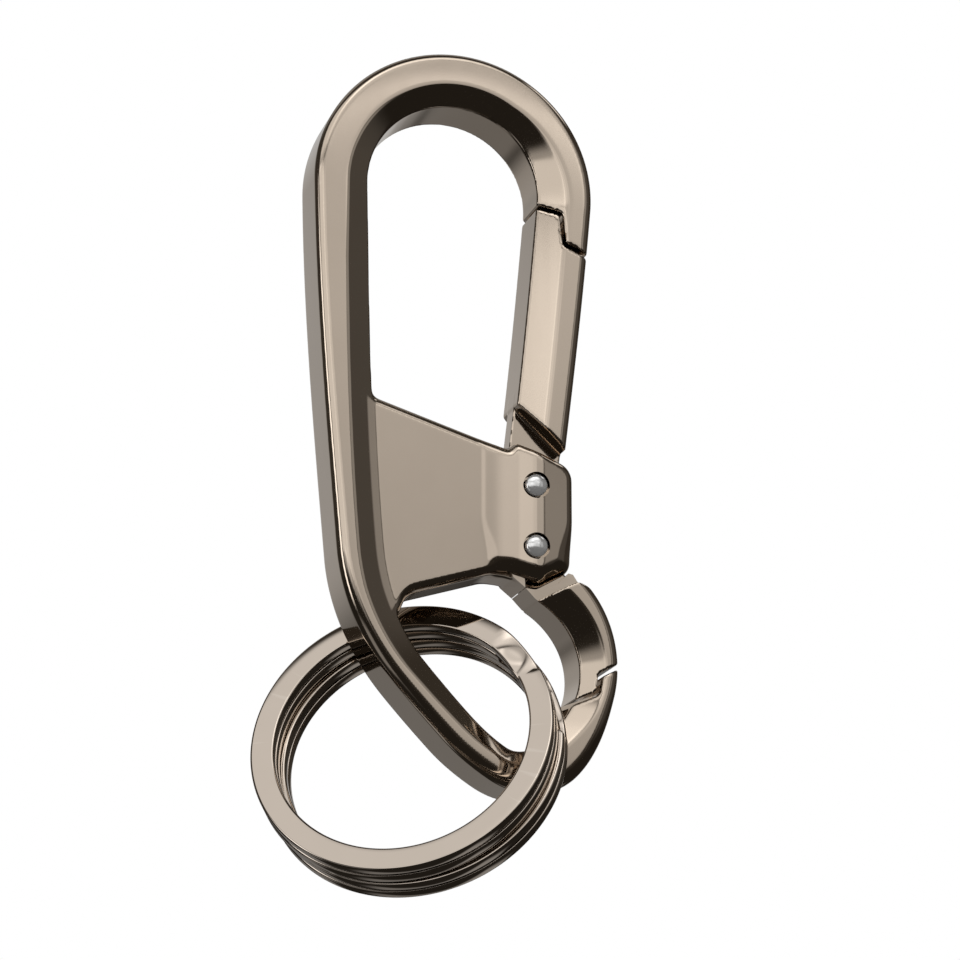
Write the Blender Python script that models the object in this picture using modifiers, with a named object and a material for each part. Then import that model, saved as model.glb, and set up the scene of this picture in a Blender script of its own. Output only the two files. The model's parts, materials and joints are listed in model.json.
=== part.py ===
"""Double carabiner with two split key rings.

It stands upright: front towards -Y, length along Z, +X to the right seen from the front.
The origin is the crown of the big loop's inner arch, in the middle of the thickness.
One closed line of arcs and straights runs through the middle of the bar: up the big gate,
over the arch, down the spine, round the small loop and back up the small gate.
"""

import math

import bmesh
import bpy
from mathutils import Matrix, Vector

MM = 0.001

# The line through the middle of the bar: length and left turn of each run, and the bar's width where it starts.
line_start_x = 9.57 * MM
line_start_z = -37.86 * MM
line_start_heading = math.radians(82.8)
gate_run, gate_turn, gate_width = 27.3 * MM, math.radians(2.1), 5.75 * MM
arch_run, arch_turn, arch_width = 40.4 * MM, math.radians(186.4), 6.0 * MM
spine_run, spine_turn, spine_width = 40.0 * MM, math.radians(4.0), 5.9 * MM
bend_run, bend_turn, bend_width = 14.7 * MM, math.radians(35.5), 4.75 * MM
bar_run, bar_turn, bar_width = 7.25 * MM, math.radians(3.0), 4.15 * MM
sweep_run, sweep_turn, sweep_width = 5.6 * MM, math.radians(14.1), 4.1 * MM
foot_run, foot_turn, foot_width = 7.45 * MM, math.radians(76.7), 3.95 * MM
side_run, side_turn, side_width = 7.9 * MM, math.radians(31.0), 5.2 * MM
hook_run, hook_turn, hook_width = 14.25 * MM, math.radians(74.9), 3.95 * MM
hook_end_width = 5.0 * MM
gate_lead = 3.5 * MM
turn_step = math.radians(5.5)
run_step = 7.0 * MM

# The bar's section.
half_depth = 4.0 * MM
wall_half = 3.1 * MM
inner_half = 2.9 * MM
shoulder = 0.9 * MM
chamfer = 2.15 * MM
shoulder_steps = 3

# The bridge plate between the loops.
plate_half = 3.0 * MM
plate_rim = 0.95 * MM
plate_hidden_x = -10.4 * MM
plate_corner_x, plate_above_z = -8.75 * MM, -31.4 * MM
plate_top_x, plate_top_z, plate_top_round = -8.6 * MM, -33.4 * MM, 1.7 * MM
plate_right_x, plate_right_top_z = 7.4 * MM, -38.6 * MM
plate_right_low_z = -51.9 * MM
plate_mid_x, plate_mid_z, plate_mid_round = 4.6 * MM, -51.9 * MM, 4.0 * MM
plate_low_x, plate_low_z, plate_low_round = -4.6 * MM, -54.6 * MM, 2.2 * MM
plate_toe_x, plate_toe_z = -6.3 * MM, -58.6 * MM
plate_heel_x = -7.6 * MM

# The hinge housing: its outline, and its section across the thickness.
house_left_x, house_left_top_z, house_left_low_z = 4.9 * MM, -38.1 * MM, -51.95 * MM
house_notch_x, house_notch_z, house_notch_round = 6.1 * MM, -38.45 * MM, 0.3 * MM
house_peak_x, house_peak_z, house_peak_round = 7.05 * MM, -37.55 * MM, 0.55 * MM
house_side_x = 13.3 * MM
house_side_top_z, house_side_top_round = -40.0 * MM, 2.0 * MM
house_side_low_z, house_side_low_round = -51.0 * MM, 1.6 * MM
house_chin_x, house_chin_z, house_chin_round = 9.6 * MM, -53.05 * MM, 1.8 * MM
house_neck_x, house_neck_z, house_neck_round = 6.1 * MM, -51.95 * MM, 1.5 * MM
house_rim = 0.45 * MM
ramp_foot_x, ramp_head_x = 5.0 * MM, 6.7 * MM
facet_x, facet_end_x, facet_drop = 9.5 * MM, 11.9 * MM, 0.45 * MM
side_drop = 0.85 * MM
slot_wall_x, slot_half = 5.9 * MM, 1.6 * MM
slot_top_z, slot_low_z, slot_out_x = -35.0 * MM, -56.0 * MM, 15.5 * MM
slot_lean_z = -48.4 * MM
slot_deep_x, slot_deep_z, slot_step_z = 5.3 * MM, -42.4 * MM, -43.2 * MM
slot_foot_x, slot_foot_z = 8.12 * MM, -53.2 * MM
toe_half = 2.7 * MM
toe_back_x, toe_top_z = 6.5 * MM, -51.3 * MM
toe_heel_x, toe_heel_z, toe_heel_round = 6.8 * MM, -52.15 * MM, 0.5 * MM
toe_tip_x, toe_tip_z = 7.8 * MM, -52.93 * MM
toe_side_x, toe_side_z = 7.75 * MM, -52.0 * MM
toe_top_x = 7.4 * MM

# The two hinge pins, their bores and the sunk seats of their heads.
pin_x = 9.09 * MM
main_pin_z = -42.26 * MM
key_pin_z = -48.88 * MM
pin_radius = 0.8 * MM
bore_radius = 1.1 * MM
head_radius = 1.14 * MM
head_under = 3.5 * MM
head_edge = 3.85 * MM
head_top = 4.25 * MM
seat_radius = 1.44 * MM
seat_floor = 3.22 * MM
dome_steps = 4
pin_steps = 28

# The gates: tongues, ends and latches.
tongue_half = 1.3 * MM
tongue_round = 2.85 * MM
main_tongue_in_x, main_tongue_in_z = 7.5 * MM, -31.6 * MM
main_tongue_out_x, main_tongue_out_z = 12.5 * MM, -37.6 * MM
main_tongue_top_x, main_tongue_top_z = 12.0 * MM, -34.6 * MM
key_tongue_out_x, key_tongue_out_z = 12.9 * MM, -51.3 * MM
key_tongue_low_x, key_tongue_low_z = 13.4 * MM, -52.6 * MM
key_tongue_deep_x, key_tongue_deep_z = 13.2 * MM, -55.0 * MM
key_tongue_in_x, key_tongue_in_z = 10.2 * MM, -54.9 * MM
key_tongue_neck_x, key_tongue_neck_z = 9.4 * MM, -53.7 * MM
key_neck_half, key_neck_radius = 2.7 * MM, 4.47 * MM
key_neck_from, key_neck_to = math.radians(257.8), math.radians(320.0)
key_neck_side_x, key_neck_side_z = 13.3 * MM, -51.75 * MM
key_neck_bend_x, key_neck_bend_z = 13.75 * MM, -52.2 * MM
key_neck_out_x, key_neck_out_z = 14.3 * MM, -52.7 * MM
key_neck_deep_x, key_neck_deep_z = 13.3 * MM, -55.1 * MM
key_neck_root_x, key_neck_root_z = 10.0 * MM, -54.9 * MM
key_neck_in_x, key_neck_in_z = 9.2 * MM, -54.36 * MM
main_end_in_x, main_end_in_z = 5.2 * MM, -31.2 * MM
main_end_out_x, main_end_out_z = 15.2 * MM, -40.9 * MM
key_end_in_x, key_end_in_z = 6.0 * MM, -56.2 * MM
key_end_out_x, key_end_out_z = 13.6 * MM, -52.5 * MM
key_end_far_x, key_end_far_z = 17.2 * MM, -53.6 * MM
key_end_round = 1.0 * MM
end_cut_reach = 9.0 * MM
main_latch_in_x, main_latch_in_z = 6.5 * MM, -9.7 * MM
main_latch_a_x, main_latch_a_z, main_latch_a_round = 12.0 * MM, -11.6 * MM, 0.7 * MM
main_latch_b_x, main_latch_b_z, main_latch_b_round = 12.3 * MM, -15.1 * MM, 0.5 * MM
main_latch_out_x, main_latch_out_z = 17.5 * MM, -17.4 * MM
key_latch_out_x, key_latch_out_z = 20.4 * MM, -60.1 * MM
key_latch_a_x, key_latch_a_z, key_latch_a_round = 16.0 * MM, -62.35 * MM, 0.5 * MM
key_latch_b_x, key_latch_b_z, key_latch_b_round = 15.7 * MM, -64.3 * MM, 0.7 * MM
key_latch_in_x, key_latch_in_z = 10.6 * MM, -66.3 * MM
latch_gap = 0.34 * MM
latch_reach = 6.0 * MM
cut_half = 7.0 * MM
main_nose_from, main_gate_to = 20.6 * MM, 29.2 * MM
nose_lead, key_gate_lead = 5.2 * MM, 4.2 * MM

# How far each gate opens; the plate is cut back so that the big gate's tongue clears it.
main_open = math.radians(20.0)
relief_gap = 0.38 * MM
relief_near, relief_far = 2.2 * MM, 7.5 * MM
relief_line_x, relief_line_z = 6.72 * MM, -37.6 * MM

# The two gate springs in blind holes in the plate.
spring_offset = 1.42 * MM
spring_hole_radius = 0.95 * MM
spring_hole_x = 0.6 * MM
spring_from_x = 0.95 * MM
main_spring_to_x, key_spring_to_x = 6.05 * MM, 6.8 * MM
spring_radius = 0.46 * MM
spring_wire_radius = 0.17 * MM
spring_pitch = 0.86 * MM
spring_points_per_curl = 9

# The split rings: two turns of flat wire with a jog between them.
ring_radius = 16.1 * MM
ring_width = 2.55 * MM
ring_leaf = 1.2 * MM
ring_leaf_gap = 0.3 * MM
ring_edge = 0.3 * MM
ring_side_turn = math.radians(28.2)
ring_up_turn = math.radians(21.8)
ring_step = math.radians(5.0)
ring_jog = math.radians(20.0)
ring_jog_rest = math.radians(2.0)
ring_tail = math.radians(3.0)
ring_end_ease, ring_ease_turn = 0.55 * MM, math.radians(2.2)
front_ring_centre = Vector((-5.22 * MM, -2.3 * MM, -69.39 * MM))
rear_ring_centre = Vector((-3.51 * MM, -0.12 * MM, -70.62 * MM))
front_ring_end = math.radians(28.5)
rear_ring_end = math.radians(7.0)
ring_axis_x, ring_axis_z = -1.0 * MM, -63.5 * MM

cylinder_steps = 32
round_step = math.radians(18.0)


# Scene, materials and collections.
def clear_scene():
    for obj in list(bpy.data.objects):
        bpy.data.objects.remove(obj, do_unlink=True)


def new_collection(name, parent):
    made = bpy.data.collections.new(name)
    parent.children.link(made)
    return made


def new_material(name, colour, roughness):
    made = bpy.data.materials.new(name)
    made.use_nodes = True
    shader = made.node_tree.nodes["Principled BSDF"]
    shader.inputs["Base Color"].default_value = (*colour, 1.0)
    shader.inputs["Roughness"].default_value = roughness
    shader.inputs["Metallic"].default_value = 1.0
    return made


clear_scene()
part = new_collection("double_carabiner", bpy.context.scene.collection)
helpers = new_collection("cutters", part)
helpers.hide_render = True
gunmetal = (0.40, 0.35, 0.30)
nickel = (0.60, 0.54, 0.48)
bright = (0.86, 0.86, 0.86)
spring_steel = (0.45, 0.45, 0.46)


def add_object(name, mesh, origin, material=None):
    """A mesh whose points are in the part's frame, with its origin on its joint axis."""
    mesh.transform(Matrix.Translation(-origin))
    made = bpy.data.objects.new(name, mesh)
    made.location = origin
    if material is None:
        helpers.objects.link(made)
        made.hide_render = True
        made.display_type = "WIRE"
    else:
        part.objects.link(made)
        made.data.materials.append(material)
    return made


def combine(target, other, operation):
    modifier = target.modifiers.new(other.name, "BOOLEAN")
    modifier.operation = operation
    modifier.solver = "EXACT"
    modifier.object = other


# Shapes.
def walk(runs, start, heading):
    """Stations (x, z, heading, width, distance) along runs of (length, turn, width, end width)."""
    x, z = start
    stations = []
    distance = 0.0
    for length, turn, width, end_width in runs:
        count = max(1, math.ceil(abs(turn) / turn_step), math.ceil(length / run_step))
        first = 0 if not stations else 1
        for i in range(first, count + 1):
            share = i / count
            angle = turn * share
            chord = length * share
            if abs(turn) > 1e-9:
                chord = 2 * (length / turn) * math.sin(angle / 2)
            middle = heading + angle / 2
            blend = share * share * (3 - 2 * share)
            stations.append(
                (
                    x + chord * math.cos(middle),
                    z + chord * math.sin(middle),
                    heading + angle,
                    width + (end_width - width) * blend,
                    distance + length * share,
                )
            )
        x, z = stations[-1][0], stations[-1][1]
        heading += turn
        distance += length
    return stations


def between(stations, start, end):
    """The stations from one distance to another, with a new one made at each end."""

    def at(distance):
        for a, b in zip(stations, stations[1:]):
            if a[4] <= distance <= b[4]:
                share = (distance - a[4]) / (b[4] - a[4])
                return tuple(p + (q - p) * share for p, q in zip(a, b))
        return stations[-1]

    inside = [s for s in stations if start < s[4] < end]
    return [at(start), *inside, at(end)]


def bar_section(width):
    """(across, depth) points of the bar's section; across runs from the outer wall to the inner one."""
    low, high = -width / 2, width / 2
    round_depth = half_depth - wall_half
    front = []
    for i in range(shoulder_steps + 1):
        angle = math.pi / 2 * i / shoulder_steps
        front.append(
            (
                low + shoulder * (1 - math.cos(angle)),
                wall_half + round_depth * math.sin(angle),
            )
        )
    front.append((high - chamfer, half_depth))
    front.append((high, inner_half))
    return front + [(across, -depth) for across, depth in reversed(front)]


def loft(name, sections, closed_ends=True):
    """A closed skin over sections, each a ring of the same number of points."""
    mesh_in = bmesh.new()
    rings = [[mesh_in.verts.new(p) for p in section] for section in sections]
    count = len(rings[0])
    for a, b in zip(rings, rings[1:]):
        for i in range(count):
            j = (i + 1) % count
            mesh_in.faces.new((a[i], a[j], b[j], b[i]))
    if closed_ends:
        mesh_in.faces.new(rings[0])
        mesh_in.faces.new(rings[-1])
    bmesh.ops.recalc_face_normals(mesh_in, faces=mesh_in.faces)
    mesh = bpy.data.meshes.new(name)
    mesh_in.to_mesh(mesh)
    mesh_in.free()
    return mesh


def bar_mesh(name, stations):
    sections = []
    for x, z, heading, width, _ in stations:
        section = []
        for across, depth in bar_section(width):
            section.append(
                (
                    x - math.sin(heading) * across,
                    depth,
                    z + math.cos(heading) * across,
                )
            )
        sections.append(section)
    return loft(name, sections)


def rounded(corners):
    """An outline through corners (x, z) or (x, z, radius), with an arc at each that has a radius."""
    points = []
    count = len(corners)
    for i, corner in enumerate(corners):
        here = Vector(corner[:2])
        radius = corner[2] if len(corner) > 2 else 0.0
        if radius <= 0:
            points.append((here.x, here.y))
            continue
        before = (Vector(corners[i - 1][:2]) - here).normalized()
        after = (Vector(corners[(i + 1) % count][:2]) - here).normalized()
        half = before.angle(after) / 2
        centre = here + (before + after).normalized() * (radius / math.sin(half))
        start = here + before * (radius / math.tan(half)) - centre
        sweep = math.pi - 2 * half
        side = 1.0 if before.x * after.y - before.y * after.x < 0 else -1.0
        steps = max(1, math.ceil(sweep / round_step))
        for k in range(steps + 1):
            angle = side * sweep * k / steps
            turned = Matrix.Rotation(angle, 2) @ start
            points.append((centre.x + turned.x, centre.y + turned.y))
    return points


def slab(name, corners, depth_low, depth_high):
    """An outline in the XZ plane, extruded across the thickness."""
    outline = rounded(corners)
    sections = [[(x, depth, z) for x, z in outline] for depth in (depth_low, depth_high)]
    return loft(name, sections)


def round_rims(obj, width, segments):
    bevel = obj.modifiers.new("rims", "BEVEL")
    bevel.width = width
    bevel.segments = segments
    bevel.limit_method = "ANGLE"
    bevel.angle_limit = math.radians(60)
    bevel.use_clamp_overlap = True


def cylinder_across(name, x, z, radius, depth_low, depth_high):
    circle = []
    for i in range(cylinder_steps):
        angle = 2 * math.pi * i / cylinder_steps
        circle.append((x + radius * math.cos(angle), z + radius * math.sin(angle)))
    sections = [[(a, depth, b) for a, b in circle] for depth in (depth_low, depth_high)]
    return loft(name, sections)


def cylinder_along_x(name, z, radius, x_low, x_high):
    circle = []
    for i in range(cylinder_steps):
        angle = 2 * math.pi * i / cylinder_steps
        circle.append((radius * math.cos(angle), z + radius * math.sin(angle)))
    sections = [[(x, a, b) for a, b in circle] for x in (x_low, x_high)]
    return loft(name, sections)


origin = Vector((0.0, 0.0, 0.0))
main_axis = Vector((pin_x, 0.0, main_pin_z))
key_axis = Vector((pin_x, 0.0, key_pin_z))
ring_axis = Vector((ring_axis_x, 0.0, ring_axis_z))

# The bar's line, once round from the big gate's hinge to the small gate's.
lead_x = line_start_x - gate_lead * math.cos(line_start_heading)
lead_z = line_start_z - gate_lead * math.sin(line_start_heading)
stations = walk(
    (
        (gate_lead, 0.0, gate_width, gate_width),
        (gate_run, gate_turn, gate_width, arch_width),
        (arch_run, arch_turn, arch_width, spine_width),
        (spine_run, spine_turn, spine_width, bend_width),
        (bend_run, bend_turn, bend_width, bar_width),
        (bar_run, bar_turn, bar_width, sweep_width),
        (sweep_run, sweep_turn, sweep_width, foot_width),
        (foot_run, foot_turn, foot_width, side_width),
        (side_run, side_turn, side_width, hook_width),
        (hook_run, hook_turn, hook_width, hook_end_width),
    ),
    (lead_x, lead_z),
    line_start_heading,
)
line_end = stations[-1][4]
key_split = line_end - hook_run

# Latch outlines. Each gate has its half on the inner side, so it opens inwards and stops on the nose.
main_latch = (
    (main_latch_in_x, main_latch_in_z),
    (main_latch_a_x, main_latch_a_z, main_latch_a_round),
    (main_latch_b_x, main_latch_b_z, main_latch_b_round),
    (main_latch_out_x, main_latch_out_z),
)
key_latch = (
    (key_latch_out_x, key_latch_out_z),
    (key_latch_a_x, key_latch_a_z, key_latch_a_round),
    (key_latch_b_x, key_latch_b_z, key_latch_b_round),
    (key_latch_in_x, key_latch_in_z),
)


def moved(corners, by_x, by_z):
    return [(c[0] + by_x, c[1] + by_z, *c[2:]) for c in corners]


half_gap = latch_gap / 2
main_nose_cut = add_object(
    "main_nose_cut",
    slab(
        "main_nose_cut",
        [
            *moved(main_latch, half_gap, half_gap),
            (main_latch_out_x, main_latch_out_z - latch_reach),
            (main_latch_in_x, main_latch_out_z - latch_reach),
        ],
        -cut_half,
        cut_half,
    ),
    origin,
)
main_gate_cut = add_object(
    "main_gate_cut",
    slab(
        "main_gate_cut",
        [
            *moved(main_latch, -half_gap, -half_gap),
            (main_latch_out_x, main_latch_in_z + latch_reach),
            (main_latch_in_x, main_latch_in_z + latch_reach),
        ],
        -cut_half,
        cut_half,
    ),
    origin,
)
key_nose_cut = add_object(
    "key_nose_cut",
    slab(
        "key_nose_cut",
        [
            *moved(key_latch, half_gap, -half_gap),
            (key_latch_in_x, key_latch_out_z + latch_reach),
            (key_latch_out_x, key_latch_out_z + latch_reach),
        ],
        -cut_half,
        cut_half,
    ),
    origin,
)
key_gate_cut = add_object(
    "key_gate_cut",
    slab(
        "key_gate_cut",
        [
            *moved(key_latch, -half_gap, half_gap),
            (key_latch_in_x, key_latch_in_z - latch_reach),
            (key_latch_out_x, key_latch_in_z - latch_reach),
        ],
        -cut_half,
        cut_half,
    ),
    origin,
)

# The frame: bar, plate and housing in one casting.
frame = add_object(
    "frame",
    bar_mesh(
        "frame",
        between(stations, gate_lead + main_nose_from, key_split + nose_lead),
    ),
    origin,
    new_material("frame_metal", gunmetal, 0.24),
)
plate = add_object(
    "plate",
    slab(
        "plate",
        [
            (plate_hidden_x, plate_above_z),
            (plate_corner_x, plate_above_z),
            (plate_top_x, plate_top_z, plate_top_round),
            (plate_right_x, plate_right_top_z),
            (plate_right_x, plate_right_low_z),
            (plate_mid_x, plate_mid_z, plate_mid_round),
            (plate_low_x, plate_low_z, plate_low_round),
            (plate_toe_x, plate_toe_z),
            (plate_heel_x, plate_toe_z),
        ],
        -plate_half,
        plate_half,
    ),
    origin,
)
round_rims(plate, plate_rim, 3)
house = add_object(
    "house",
    slab(
        "house",
        [
            (house_left_x, house_left_top_z),
            (house_notch_x, house_notch_z, house_notch_round),
            (house_peak_x, house_peak_z, house_peak_round),
            (house_side_x, house_side_top_z, house_side_top_round),
            (house_side_x, house_side_low_z, house_side_low_round),
            (house_chin_x, house_chin_z, house_chin_round),
            (house_neck_x, house_neck_z, house_neck_round),
            (house_left_x, house_left_low_z),
        ],
        -half_depth,
        half_depth,
    ),
    origin,
)
round_rims(house, house_rim, 2)
facet_depth = half_depth - facet_drop
side_depth = half_depth - side_drop
half_profile = [
    (ramp_foot_x, plate_half - plate_rim),
    (ramp_foot_x, plate_half - house_rim),
    (ramp_head_x, half_depth),
    (facet_x, half_depth),
    (facet_end_x, facet_depth),
    (house_side_x, side_depth),
    (slot_out_x, side_depth),
]
profile = half_profile + [(x, -depth) for x, depth in reversed(half_profile)]
house_form = add_object(
    "house_form",
    loft(
        "house_form",
        [[(x, depth, z) for x, depth in profile] for z in (slot_low_z, slot_top_z)],
    ),
    origin,
)
toe = add_object(
    "toe",
    slab(
        "toe",
        [
            (toe_back_x, toe_top_z),
            (toe_top_x, toe_top_z),
            (toe_side_x, toe_side_z),
            (toe_tip_x, toe_tip_z),
            (toe_heel_x, toe_heel_z, toe_heel_round),
        ],
        -toe_half,
        toe_half,
    ),
    origin,
)
combine(house, house_form, "INTERSECT")
combine(frame, plate, "UNION")
combine(frame, house, "UNION")
combine(frame, toe, "UNION")

slot = add_object(
    "slot",
    slab(
        "slot",
        [
            (slot_deep_x, slot_top_z),
            (slot_out_x, slot_top_z),
            (slot_out_x, slot_low_z),
            (slot_foot_x, slot_low_z),
            (slot_foot_x, slot_foot_z),
            (slot_wall_x, slot_lean_z),
            (slot_wall_x, slot_step_z),
            (slot_deep_x, slot_deep_z),
        ],
        -slot_half,
        slot_half,
    ),
    origin,
)
edge = Vector((relief_line_x - pin_x, relief_line_z - main_pin_z))
open_edge = (Matrix.Rotation(-main_open, 2) @ edge).normalized()
if open_edge.x > edge.normalized().x:
    open_edge = (Matrix.Rotation(main_open, 2) @ edge).normalized()
aside = Vector((-open_edge.y, open_edge.x)) * relief_gap
near = Vector((pin_x, main_pin_z)) + open_edge * relief_near + aside
far = Vector((pin_x, main_pin_z)) + open_edge * relief_far + aside
relief = add_object(
    "relief",
    slab(
        "relief",
        [
            (near.x, near.y),
            (far.x, far.y),
            (slot_wall_x + relief_near, far.y + relief_near),
            (slot_wall_x + relief_near, near.y),
        ],
        -slot_half + slot_half / 100,
        slot_half - slot_half / 100,
    ),
    origin,
)
combine(frame, slot, "DIFFERENCE")
combine(frame, relief, "DIFFERENCE")
for label, axis, side in (("main", main_axis, 1), ("key", key_axis, -1)):
    bore = add_object(
        f"{label}_bore",
        cylinder_across(f"{label}_bore", axis.x, axis.z, bore_radius, -cut_half, cut_half),
        origin,
    )
    front_seat = add_object(
        f"{label}_front_seat",
        cylinder_across(
            f"{label}_front_seat", axis.x, axis.z, seat_radius, -cut_half, -seat_floor
        ),
        origin,
    )
    back_seat = add_object(
        f"{label}_back_seat",
        cylinder_across(f"{label}_back_seat", axis.x, axis.z, seat_radius, seat_floor, cut_half),
        origin,
    )
    spring_z = axis.z + side * spring_offset
    spring_hole = add_object(
        f"{label}_spring_hole",
        cylinder_along_x(
            f"{label}_spring_hole", spring_z, spring_hole_radius, spring_hole_x, pin_x
        ),
        origin,
    )
    for cutter in (bore, front_seat, back_seat, spring_hole):
        combine(frame, cutter, "DIFFERENCE")
combine(frame, main_nose_cut, "DIFFERENCE")
combine(frame, key_nose_cut, "DIFFERENCE")

# The big gate: bar, tongue, bore.
main_gate = add_object(
    "main_gate",
    bar_mesh("main_gate", between(stations, 0.0, gate_lead + main_gate_to)),
    main_axis,
    new_material("main_gate_metal", gunmetal, 0.22),
)
main_end_cut = add_object(
    "main_end_cut",
    slab(
        "main_end_cut",
        [
            (main_end_in_x, main_end_in_z),
            (main_end_out_x, main_end_out_z),
            (main_end_out_x, main_end_out_z - end_cut_reach),
            (main_end_in_x, main_end_out_z - end_cut_reach),
        ],
        -cut_half,
        cut_half,
    ),
    origin,
)
main_tongue = add_object(
    "main_tongue",
    slab(
        "main_tongue",
        [
            (main_tongue_in_x, main_tongue_in_z),
            (pin_x - tongue_round, main_pin_z),
            (pin_x - tongue_round, main_pin_z - tongue_round, tongue_round),
            (pin_x + tongue_round, main_pin_z - tongue_round, tongue_round),
            (pin_x + tongue_round, main_pin_z),
            (main_tongue_out_x, main_tongue_out_z),
            (main_tongue_top_x, main_tongue_top_z),
        ],
        -tongue_half,
        tongue_half,
    ),
    origin,
)
combine(main_gate, main_end_cut, "DIFFERENCE")
combine(main_gate, main_gate_cut, "DIFFERENCE")
combine(main_gate, main_tongue, "UNION")
combine(main_gate, bpy.data.objects["main_bore"], "DIFFERENCE")

# The small gate.
key_gate = add_object(
    "key_gate",
    bar_mesh("key_gate", between(stations, key_split - key_gate_lead, line_end)),
    key_axis,
    new_material("key_gate_metal", gunmetal, 0.22),
)
key_end_cut = add_object(
    "key_end_cut",
    slab(
        "key_end_cut",
        [
            (key_end_in_x, key_end_in_z),
            (key_end_out_x, key_end_out_z, key_end_round),
            (key_end_far_x, key_end_far_z),
            (key_end_far_x, key_end_out_z + end_cut_reach),
            (key_end_in_x, key_end_out_z + end_cut_reach),
        ],
        -cut_half,
        cut_half,
    ),
    origin,
)
key_tongue = add_object(
    "key_tongue",
    slab(
        "key_tongue",
        [
            (pin_x + tongue_round, key_pin_z),
            (pin_x + tongue_round, key_pin_z + tongue_round, tongue_round),
            (pin_x - tongue_round, key_pin_z + tongue_round, tongue_round),
            (pin_x - tongue_round, key_pin_z),
            (key_tongue_neck_x, key_tongue_neck_z, tongue_round / 2),
            (key_tongue_in_x, key_tongue_in_z),
            (key_tongue_deep_x, key_tongue_deep_z),
            (key_tongue_low_x, key_tongue_low_z),
            (key_tongue_out_x, key_tongue_out_z),
        ],
        -tongue_half,
        tongue_half,
    ),
    origin,
)
neck_arc = []
neck_steps = math.ceil((key_neck_to - key_neck_from) / turn_step)
for i in range(neck_steps + 1):
    angle = key_neck_from + (key_neck_to - key_neck_from) * i / neck_steps
    neck_arc.append(
        (
            pin_x + key_neck_radius * math.cos(angle),
            key_pin_z + key_neck_radius * math.sin(angle),
        )
    )
key_neck = add_object(
    "key_neck",
    slab(
        "key_neck",
        [
            *neck_arc,
            (key_neck_side_x, key_neck_side_z),
            (key_neck_bend_x, key_neck_bend_z),
            (key_neck_out_x, key_neck_out_z),
            (key_neck_deep_x, key_neck_deep_z),
            (key_neck_root_x, key_neck_root_z),
            (key_neck_in_x, key_neck_in_z),
        ],
        -key_neck_half,
        key_neck_half,
    ),
    origin,
)
combine(key_gate, key_end_cut, "DIFFERENCE")
combine(key_gate, key_gate_cut, "DIFFERENCE")
combine(key_gate, key_neck, "UNION")
combine(key_gate, key_tongue, "UNION")
combine(key_gate, bpy.data.objects["key_bore"], "DIFFERENCE")


# The hinge pins, each turned with a domed head at both ends.
def pin_profile():
    end = []
    for i in range(dome_steps + 1):
        angle = math.pi / 2 * i / dome_steps
        end.append(
            (
                head_radius * math.sin(angle),
                head_edge + (head_top - head_edge) * math.cos(angle),
            )
        )
    end.append((head_radius, head_under))
    end.append((pin_radius, head_under))
    return end + [(radius, -depth) for radius, depth in reversed(end)]


def add_pin(name, axis, material):
    mesh = bpy.data.meshes.new(name)
    points = [(radius, 0.0, depth) for radius, depth in pin_profile()]
    mesh.from_pydata(points, [(i, i + 1) for i in range(len(points) - 1)], [])
    made = bpy.data.objects.new(name, mesh)
    part.objects.link(made)
    made.location = axis
    made.rotation_euler = (math.radians(90), 0.0, 0.0)
    mesh.materials.append(material)
    screw = made.modifiers.new("turn", "SCREW")
    screw.steps = pin_steps
    screw.render_steps = pin_steps
    screw.use_merge_vertices = True
    screw.merge_threshold = 0.00001
    screw.use_normal_calculate = True
    screw.use_smooth_shade = False
    return made


main_pin = add_pin("main_gate_pin", main_axis, new_material("main_pin_chrome", bright, 0.08))
key_pin = add_pin("key_gate_pin", key_axis, new_material("key_pin_chrome", bright, 0.08))


# The gate springs: each one tube along X.
def add_spring(name, z, to_x, material):
    curls = (to_x - spring_from_x - 2 * spring_wire_radius) / spring_pitch
    count = math.ceil(curls * spring_points_per_curl)
    points = []
    for i in range(count + 1):
        angle = 2 * math.pi * curls * i / count
        points.append(
            Vector(
                (
                    spring_from_x + spring_wire_radius + spring_pitch * curls * i / count,
                    spring_radius * math.cos(angle),
                    z + spring_radius * math.sin(angle),
                )
            )
        )
    curve = bpy.data.curves.new(name, "CURVE")
    curve.dimensions = "3D"
    curve.bevel_depth = spring_wire_radius
    curve.bevel_resolution = 1
    curve.use_fill_caps = True
    spline = curve.splines.new("POLY")
    spline.points.add(len(points) - 1)
    for spot, place in zip(spline.points, points):
        spot.co = (*place, 1.0)
    guide = bpy.data.objects.new(f"{name}_line", curve)
    helpers.objects.link(guide)
    guide.hide_render = True
    graph = bpy.context.evaluated_depsgraph_get()
    mesh = bpy.data.meshes.new_from_object(guide.evaluated_get(graph))
    mesh_in = bmesh.new()
    mesh_in.from_mesh(mesh)
    bmesh.ops.remove_doubles(mesh_in, verts=mesh_in.verts, dist=spring_wire_radius / 100)
    bmesh.ops.recalc_face_normals(mesh_in, faces=mesh_in.faces)
    mesh_in.to_mesh(mesh)
    mesh_in.free()
    mesh.name = name
    bpy.data.objects.remove(guide, do_unlink=True)
    least = min(
        (a - b).length
        for i, a in enumerate(points)
        for b in points[i + spring_points_per_curl - 2 :]
    )
    print(f"{name}: least gap to itself {(least - 2 * spring_wire_radius) / MM:.2f} mm")
    return add_object(name, mesh, origin, material)


main_spring = add_spring(
    "main_gate_spring",
    main_pin_z + spring_offset,
    main_spring_to_x,
    new_material("main_spring_steel", spring_steel, 0.3),
)
key_spring = add_spring(
    "key_gate_spring",
    key_pin_z - spring_offset,
    key_spring_to_x,
    new_material("key_spring_steel", spring_steel, 0.3),
)


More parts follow.
